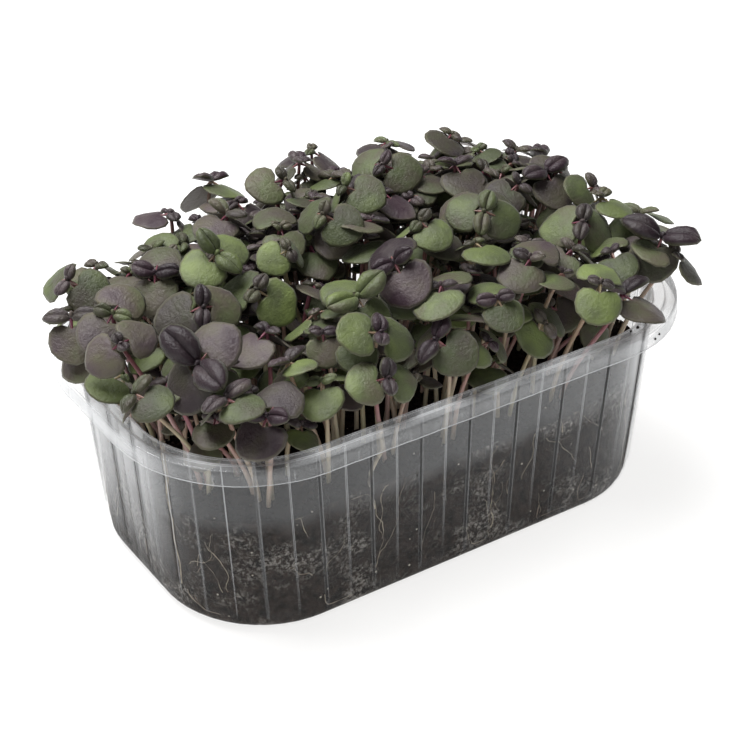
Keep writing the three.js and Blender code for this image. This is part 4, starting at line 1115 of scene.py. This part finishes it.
def true_leaf_template():
    """A puckered blade over a shallow hollow."""
    wide, tall = len(TRUE_LEAF_COLUMNS), len(TRUE_LEAF_ROWS)
    points, along, across, edge, under = [], [], [], [], []

    def put(u, v, half, z, below):
        points.append((u, v * half, z))
        along.append(u)
        across.append(float(v))
        edge.append(max(abs(v), 2 * u - 1))
        under.append(below)

    for u, half, swell in TRUE_LEAF_ROWS:
        for v, rise in TRUE_LEAF_COLUMNS:
            put(u, v, half, swell * rise, 0.0)
    put(TRUE_LEAF_TIP, 0.0, 0.0, 0.0, 0.0)
    for u, half, swell in TRUE_LEAF_ROWS:
        put(u, 0.0, 0.0, HOLLOW * swell, 1.0)
    tip, middle = wide * tall, wide * tall + 1
    faces = []
    for row in range(tall - 1):
        low, high = row * wide, (row + 1) * wide
        faces += [(low + i, high + i, high + i + 1, low + i + 1) for i in range(wide - 1)]
        faces.append((middle + row, middle + row + 1, high, low))
        faces.append((low + wide - 1, high + wide - 1, middle + row + 1, middle + row))
    last = (tall - 1) * wide
    faces += [(last + i, tip, last + i + 1) for i in range(wide - 1)]
    faces += [(middle + tall - 1, tip, last), (last + wide - 1, tip, middle + tall - 1)]
    faces += [(middle, i, i + 1) for i in range(wide - 1)]
    return template("true_leaf_shape", points, faces, {
        "along": along, "across": across, "edge": edge, "under": under})


def bud_template():
    """The closed bud between the true leaves."""
    points, faces = [(0.0, 0.0, 1.0)], []
    for level in (0.75, 0.2, -0.4):
        for i in range(8):
            angle = math.pi * i / 4
            wide = math.sqrt(1 - level * level)
            points.append((wide * math.cos(angle), wide * math.sin(angle) * 0.8, level))
    points.append((0.0, 0.0, -0.8))
    for i in range(8):
        j = (i + 1) % 8
        faces.append((0, 1 + i, 1 + j))
        faces += [(1 + 8 * k + i, 9 + 8 * k + i, 9 + 8 * k + j, 1 + 8 * k + j) for k in range(2)]
        faces.append((17 + i, len(points) - 1, 17 + j))
    zeros = np.zeros(len(points))
    return template("bud_shape", points, faces, {
        "along": zeros + 0.5, "across": zeros + 0.5, "edge": zeros, "under": zeros})


STEM_POINTS = 11
STEM, SEED_LEAF, TRUE_LEAF, BUD = 0, 1, 2, 3
STEM_FOOT_RADIUS = 0.76
STEM_HEAD_RADIUS = 0.6
STALK_RADIUS = 0.4
FINE_BLADE = 0.42
SWELL_SHARE, SWELL_LEAST = 0.22, 0.35
BUD_LEAST, BUD_GROWTH, BUD_RISE = 0.5, 0.045, 0.8
FIELDS = {"kind": 1, "thick": 1, "rise": 1, "tint": 1, "tone": 1, "way": 3, "face": 3, "axis": 3, "size": 3,
          "sag": 1, "cup": 1}


def seedling_base(name, plans):
    """Lines for the stems and leaf stalks of seedlings, a point for each leaf, and what they carry."""
    points, edges = [], []
    fields = {key: [] for key in FIELDS}

    def put(place, **values):
        points.append(tuple(float(value) * MM for value in place))
        for key, count in FIELDS.items():
            fields[key].append(values.get(key, 0.0 if count == 1 else (0.0, 0.0, 0.0)))

    def line(places, radii, rises, tint, tone):
        first = len(points)
        for place, radius, rise in zip(places, radii, rises):
            put(place, kind=STEM, thick=radius * MM, rise=rise, tint=tint, tone=tone)
        edges.extend((i, i + 1) for i in range(first, len(points) - 1))

    for plan in plans:
        axis = head_axis(plan)
        tone = (math.sin(12.9898 * plan["turn"] + 78.233 * plan["tilt"]) * 43758.5453) % 1
        t = np.linspace(0.08, 1.0, STEM_POINTS)
        radii = STEM_FOOT_RADIUS + (STEM_HEAD_RADIUS - STEM_FOOT_RADIUS) * t
        radii[-1] *= 0.8
        line(on_stem(plan, t), radii, t, plan["seed_tint"], tone)
        for index, leaf in enumerate(leaves_of(plan)):
            out, side = head_way(plan, leaf["turn"]), head_way(plan, leaf["turn"] + 90)
            lift = leaf["lift"]
            way = out * math.cos(lift) + axis * math.sin(lift)
            face = axis * math.cos(lift) - out * math.sin(lift)
            tint = plan["seed_tint"] if leaf["seed_leaf"] else plan["leaf_tint"]
            if leaf["seed_leaf"]:
                spread = np.array([0.02, 0.12, 0.26])
                line(on_leaf(plan, leaf, spread, spread * 0), (0.5, STALK_RADIUS, 0.16),
                     (1.0, 1.0, 1.0), plan["seed_tint"], tone)
            rise = FINE_BLADE if leaf["seed_leaf"] else SWELL_SHARE * leaf["width"] + SWELL_LEAST
            put(plan["head"], kind=SEED_LEAF if leaf["seed_leaf"] else TRUE_LEAF, tint=tint,
                tone=(tone + 0.37 * index) % 1, way=tuple(way), face=tuple(face), axis=tuple(axis),
                size=(leaf["length"] * MM, leaf["width"] / 2 * MM, rise * MM),
                sag=leaf["sag"] * leaf["length"] * MM, cup=leaf["cup"] * leaf["width"] * MM)
        small = BUD_LEAST + BUD_GROWTH * plan["leaf_length"]
        put(np.array(plan["head"]) + axis * BUD_RISE, kind=BUD, tint=plan["leaf_tint"], tone=tone,
            way=tuple(head_way(plan, plan["turn"])), face=tuple(axis), axis=tuple(axis),
            size=(small * MM, small * MM, 1.5 * small * MM))
    mesh = bpy.data.meshes.new(name)
    mesh.from_pydata(points, edges, [])
    for key, count in FIELDS.items():
        kind, slot_name = ("FLOAT", "value") if count == 1 else ("FLOAT_VECTOR", "vector")
        values = np.array(fields[key], np.float32).ravel()
        mesh.attributes.new(key, kind, "POINT").data.foreach_set(slot_name, values)
    return stand(name, mesh)


# The tree that grows the seedlings: round stems along their lines, and a leaf shape set at each leaf's
# place, turned and sized, then bent down to its tip and edges and puckered.
tree, start, finish = geometry_tree(
    "basil_seedlings", {"Stem sides": "Int", "Seed leaf": "Object", "True leaf": "Object", "Bud": "Object",
                        "Pucker": "Float", "Puckers per metre": "Float"})
read = {}
for data_type, keys in (("FLOAT", ("kind", "thick", "along", "across", "sag", "cup")),
                        ("FLOAT_VECTOR", ("way", "face", "axis", "size"))):
    for key in keys:
        read[key] = add(tree, "GeometryNodeInputNamedAttribute", {"data_type": data_type},
                        {"Name": key}).outputs[0]
those = {}
for kind in (STEM, SEED_LEAF, TRUE_LEAF, BUD):
    same = add(tree, "FunctionNodeCompare", {"data_type": "FLOAT", "operation": "EQUAL"},
               {0: read["kind"], 1: float(kind), "Epsilon": 0.1})
    those[kind] = add(tree, "GeometryNodeSeparateGeometry", {"domain": "POINT"},
                      {"Geometry": start.outputs["Geometry"], "Selection": same}).outputs["Selection"]
lines = add(tree, "GeometryNodeMeshToCurve", None, {"Mesh": those[STEM]})
circle = add(tree, "GeometryNodeCurvePrimitiveCircle", None,
             {"Resolution": start.outputs["Stem sides"], "Radius": 1.0})
tubes = add(tree, "GeometryNodeCurveToMesh", None,
            {"Curve": lines, "Profile Curve": circle.outputs["Curve"], "Scale": read["thick"],
             "Fill Caps": True})
smooth_tubes = add(tree, "GeometryNodeSetShadeSmooth", None, {"Geometry": tubes})
stems = add(tree, "GeometryNodeSetMaterial", None, {"Geometry": smooth_tubes, "Material": stem_skin})
everything = add(tree, "GeometryNodeJoinGeometry")
tree.links.new(stems.outputs[0], everything.inputs[0])
for kind, key, skin in ((SEED_LEAF, "Seed leaf", seed_leaf_skin), (TRUE_LEAF, "True leaf", true_leaf_skin),
                        (BUD, "Bud", true_leaf_skin)):
    spots = add(tree, "GeometryNodeMeshToPoints", None, {"Mesh": those[kind]})
    turn = add(tree, "FunctionNodeAxesToRotation", {"primary_axis": "X", "secondary_axis": "Z"},
               {"Primary Axis": read["way"], "Secondary Axis": read["face"]})
    shape = add(tree, "GeometryNodeObjectInfo", None, {"Object": start.outputs[key]})
    set_out = add(tree, "GeometryNodeInstanceOnPoints", None,
                  {"Points": spots, "Instance": shape.outputs["Geometry"], "Rotation": turn,
                   "Scale": read["size"]})
    real = add(tree, "GeometryNodeRealizeInstances", None, {"Geometry": set_out})
    drops = []
    for reach, depth in (("along", "sag"), ("across", "cup")):
        square = add(tree, "ShaderNodeMath", {"operation": "MULTIPLY"}, {0: read[reach], 1: read[reach]})
        drops.append(add(tree, "ShaderNodeMath", {"operation": "MULTIPLY"}, {0: square, 1: read[depth]}))
    drop = add(tree, "ShaderNodeMath", {"operation": "ADD"}, {0: drops[0], 1: drops[1]})
    where = add(tree, "GeometryNodeInputPosition")
    waves = add(tree, "ShaderNodeTexNoise", None,
                {"Vector": where, "Scale": start.outputs["Puckers per metre"], "Detail": 1.0})
    even = add(tree, "ShaderNodeVectorMath", {"operation": "SUBTRACT"},
               {0: waves.outputs["Color"], 1: (0.5, 0.5, 0.5)})
    held = add(tree, "ShaderNodeMath", {"operation": "MULTIPLY"},
               {0: read["along"], 1: start.outputs["Pucker"]})
    wavy = add(tree, "ShaderNodeVectorMath", {"operation": "SCALE"}, {0: even.outputs[0], "Scale": held})
    fall = add(tree, "ShaderNodeMath", {"operation": "MULTIPLY"}, {0: drop, 1: -1.0})
    bend = add(tree, "ShaderNodeVectorMath", {"operation": "SCALE"}, {0: read["axis"], "Scale": fall})
    shift = add(tree, "ShaderNodeVectorMath", {"operation": "ADD"}, {0: bend.outputs[0], 1: wavy.outputs[0]})
    bent = add(tree, "GeometryNodeSetPosition", None, {"Geometry": real, "Offset": shift})
    painted = add(tree, "GeometryNodeSetMaterial", None, {"Geometry": bent, "Material": skin})
    tree.links.new(painted.outputs[0], everything.inputs[0])
tree.links.new(everything.outputs[0], finish.inputs[0])

shapes = {"Seed leaf": seed_leaf_template(), "True leaf": true_leaf_template(), "Bud": bud_template()}
by_finish = {"leaf_green": [], "leaf_bronze": [], "leaf_purple": []}
grow_sizes = {"Stem sides": 6, "Pucker": 3.2 * MM, "Puckers per metre": 120.0}
for index, site in enumerate(sites):
    tints = [0.7 * plan["seed_tint"] + 0.3 * plan["leaf_tint"] for plan in site["plans"]]
    mean = sum(tints) / len(tints)
    finish_name = "leaf_purple"
    if mean < HALF_PURPLE:
        finish_name = "leaf_green" if mean < HALF_GREEN else "leaf_bronze"
    by_finish[finish_name].append((f"seedlings_{index + 1:02d}", site["plans"]))
for finish_name, members in by_finish.items():
    name = "basil_" + finish_name.split("_")[1]
    base = seedling_base(name + "_base", [plan for _, plans in members for plan in plans])
    piece = grown(base, name, tree, {**shapes, **grow_sizes})
    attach(piece, "root")
    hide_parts(*(node for node, _ in members))
late = grown(seedling_base("late_base", late_plans), "basil_late", tree, {**shapes, **grow_sizes})
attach(late, "root")
for shape in shapes.values():
    bpy.data.objects.remove(shape)

# ---- the floor, lights and camera --------------------------------------------------------------
# A plain pale floor under soft studio light from a wide overhead box and an even white surround.

floor_paint = new_material("pale_floor", {
    "Base Color": linear("#a2a2a2"), "Roughness": 0.9, "Emission Color": (1.0, 0.995, 0.985, 1.0),
    "Emission Strength": 0.82})[0]
FLOOR_SIZE = 6.0
FLOOR_GAP = 0.0002
floor_mesh = bpy.data.meshes.new("floor")
floor_corners = [(x * FLOOR_SIZE, y * FLOOR_SIZE, 0.0) for x, y in ((-1, -1), (1, -1), (1, 1), (-1, 1))]
floor_mesh.from_pydata(floor_corners, [], [(0, 1, 2, 3)])
floor_mesh.materials.append(floor_paint)
floor = stand("floor", floor_mesh)
floor.location.z = -FLOOR_GAP

world = bpy.data.worlds.new("white_surround")
world.use_nodes = True
world.node_tree.nodes["Background"].inputs["Color"].default_value = (1.0, 1.0, 1.0, 1.0)
world.node_tree.nodes["Background"].inputs["Strength"].default_value = 0.14
bpy.context.scene.world = world


def softbox(name, place, size, power):
    """A square area light that faces the middle of the tray."""
    light = bpy.data.lights.new(name, "AREA")
    light.size = size
    light.energy = power
    made = stand(name, light)
    made.location = place
    toward = np.array([0.0, 0.0, 0.06]) - np.array(place)
    made.rotation_euler = (math.pi - math.acos(toward[2] / np.linalg.norm(toward)), 0.0,
                           math.atan2(toward[1], toward[0]) - math.pi / 2)


softbox("overhead_softbox", (-0.2, 0.28, 0.92), 0.7, 16.2)
softbox("left_softbox", (-0.7, -0.7, 0.45), 0.6, 1.5)

AZIMUTH, ELEVATION = math.radians(-33.59), math.radians(32.33)
DISTANCE = 0.60119
LENS = 89.66
AIM_RIGHT, AIM_UP = 0.00057, 0.03578
back = np.array([math.sin(AZIMUTH) * math.cos(ELEVATION), -math.cos(AZIMUTH) * math.cos(ELEVATION),
                 math.sin(ELEVATION)])
right = np.array([math.cos(AZIMUTH), math.sin(AZIMUTH), 0.0])
above = np.cross(back, right)
camera_data = bpy.data.cameras.new("camera")
camera_data.lens = LENS
camera_data.sensor_width = 36.0
camera = stand("camera", camera_data)
camera.location = right * AIM_RIGHT + above * AIM_UP + back * DISTANCE
camera.rotation_euler = (math.pi / 2 - ELEVATION, 0.0, AZIMUTH)
bpy.context.scene.camera = camera
bpy.context.scene.view_settings.view_transform = "Standard"
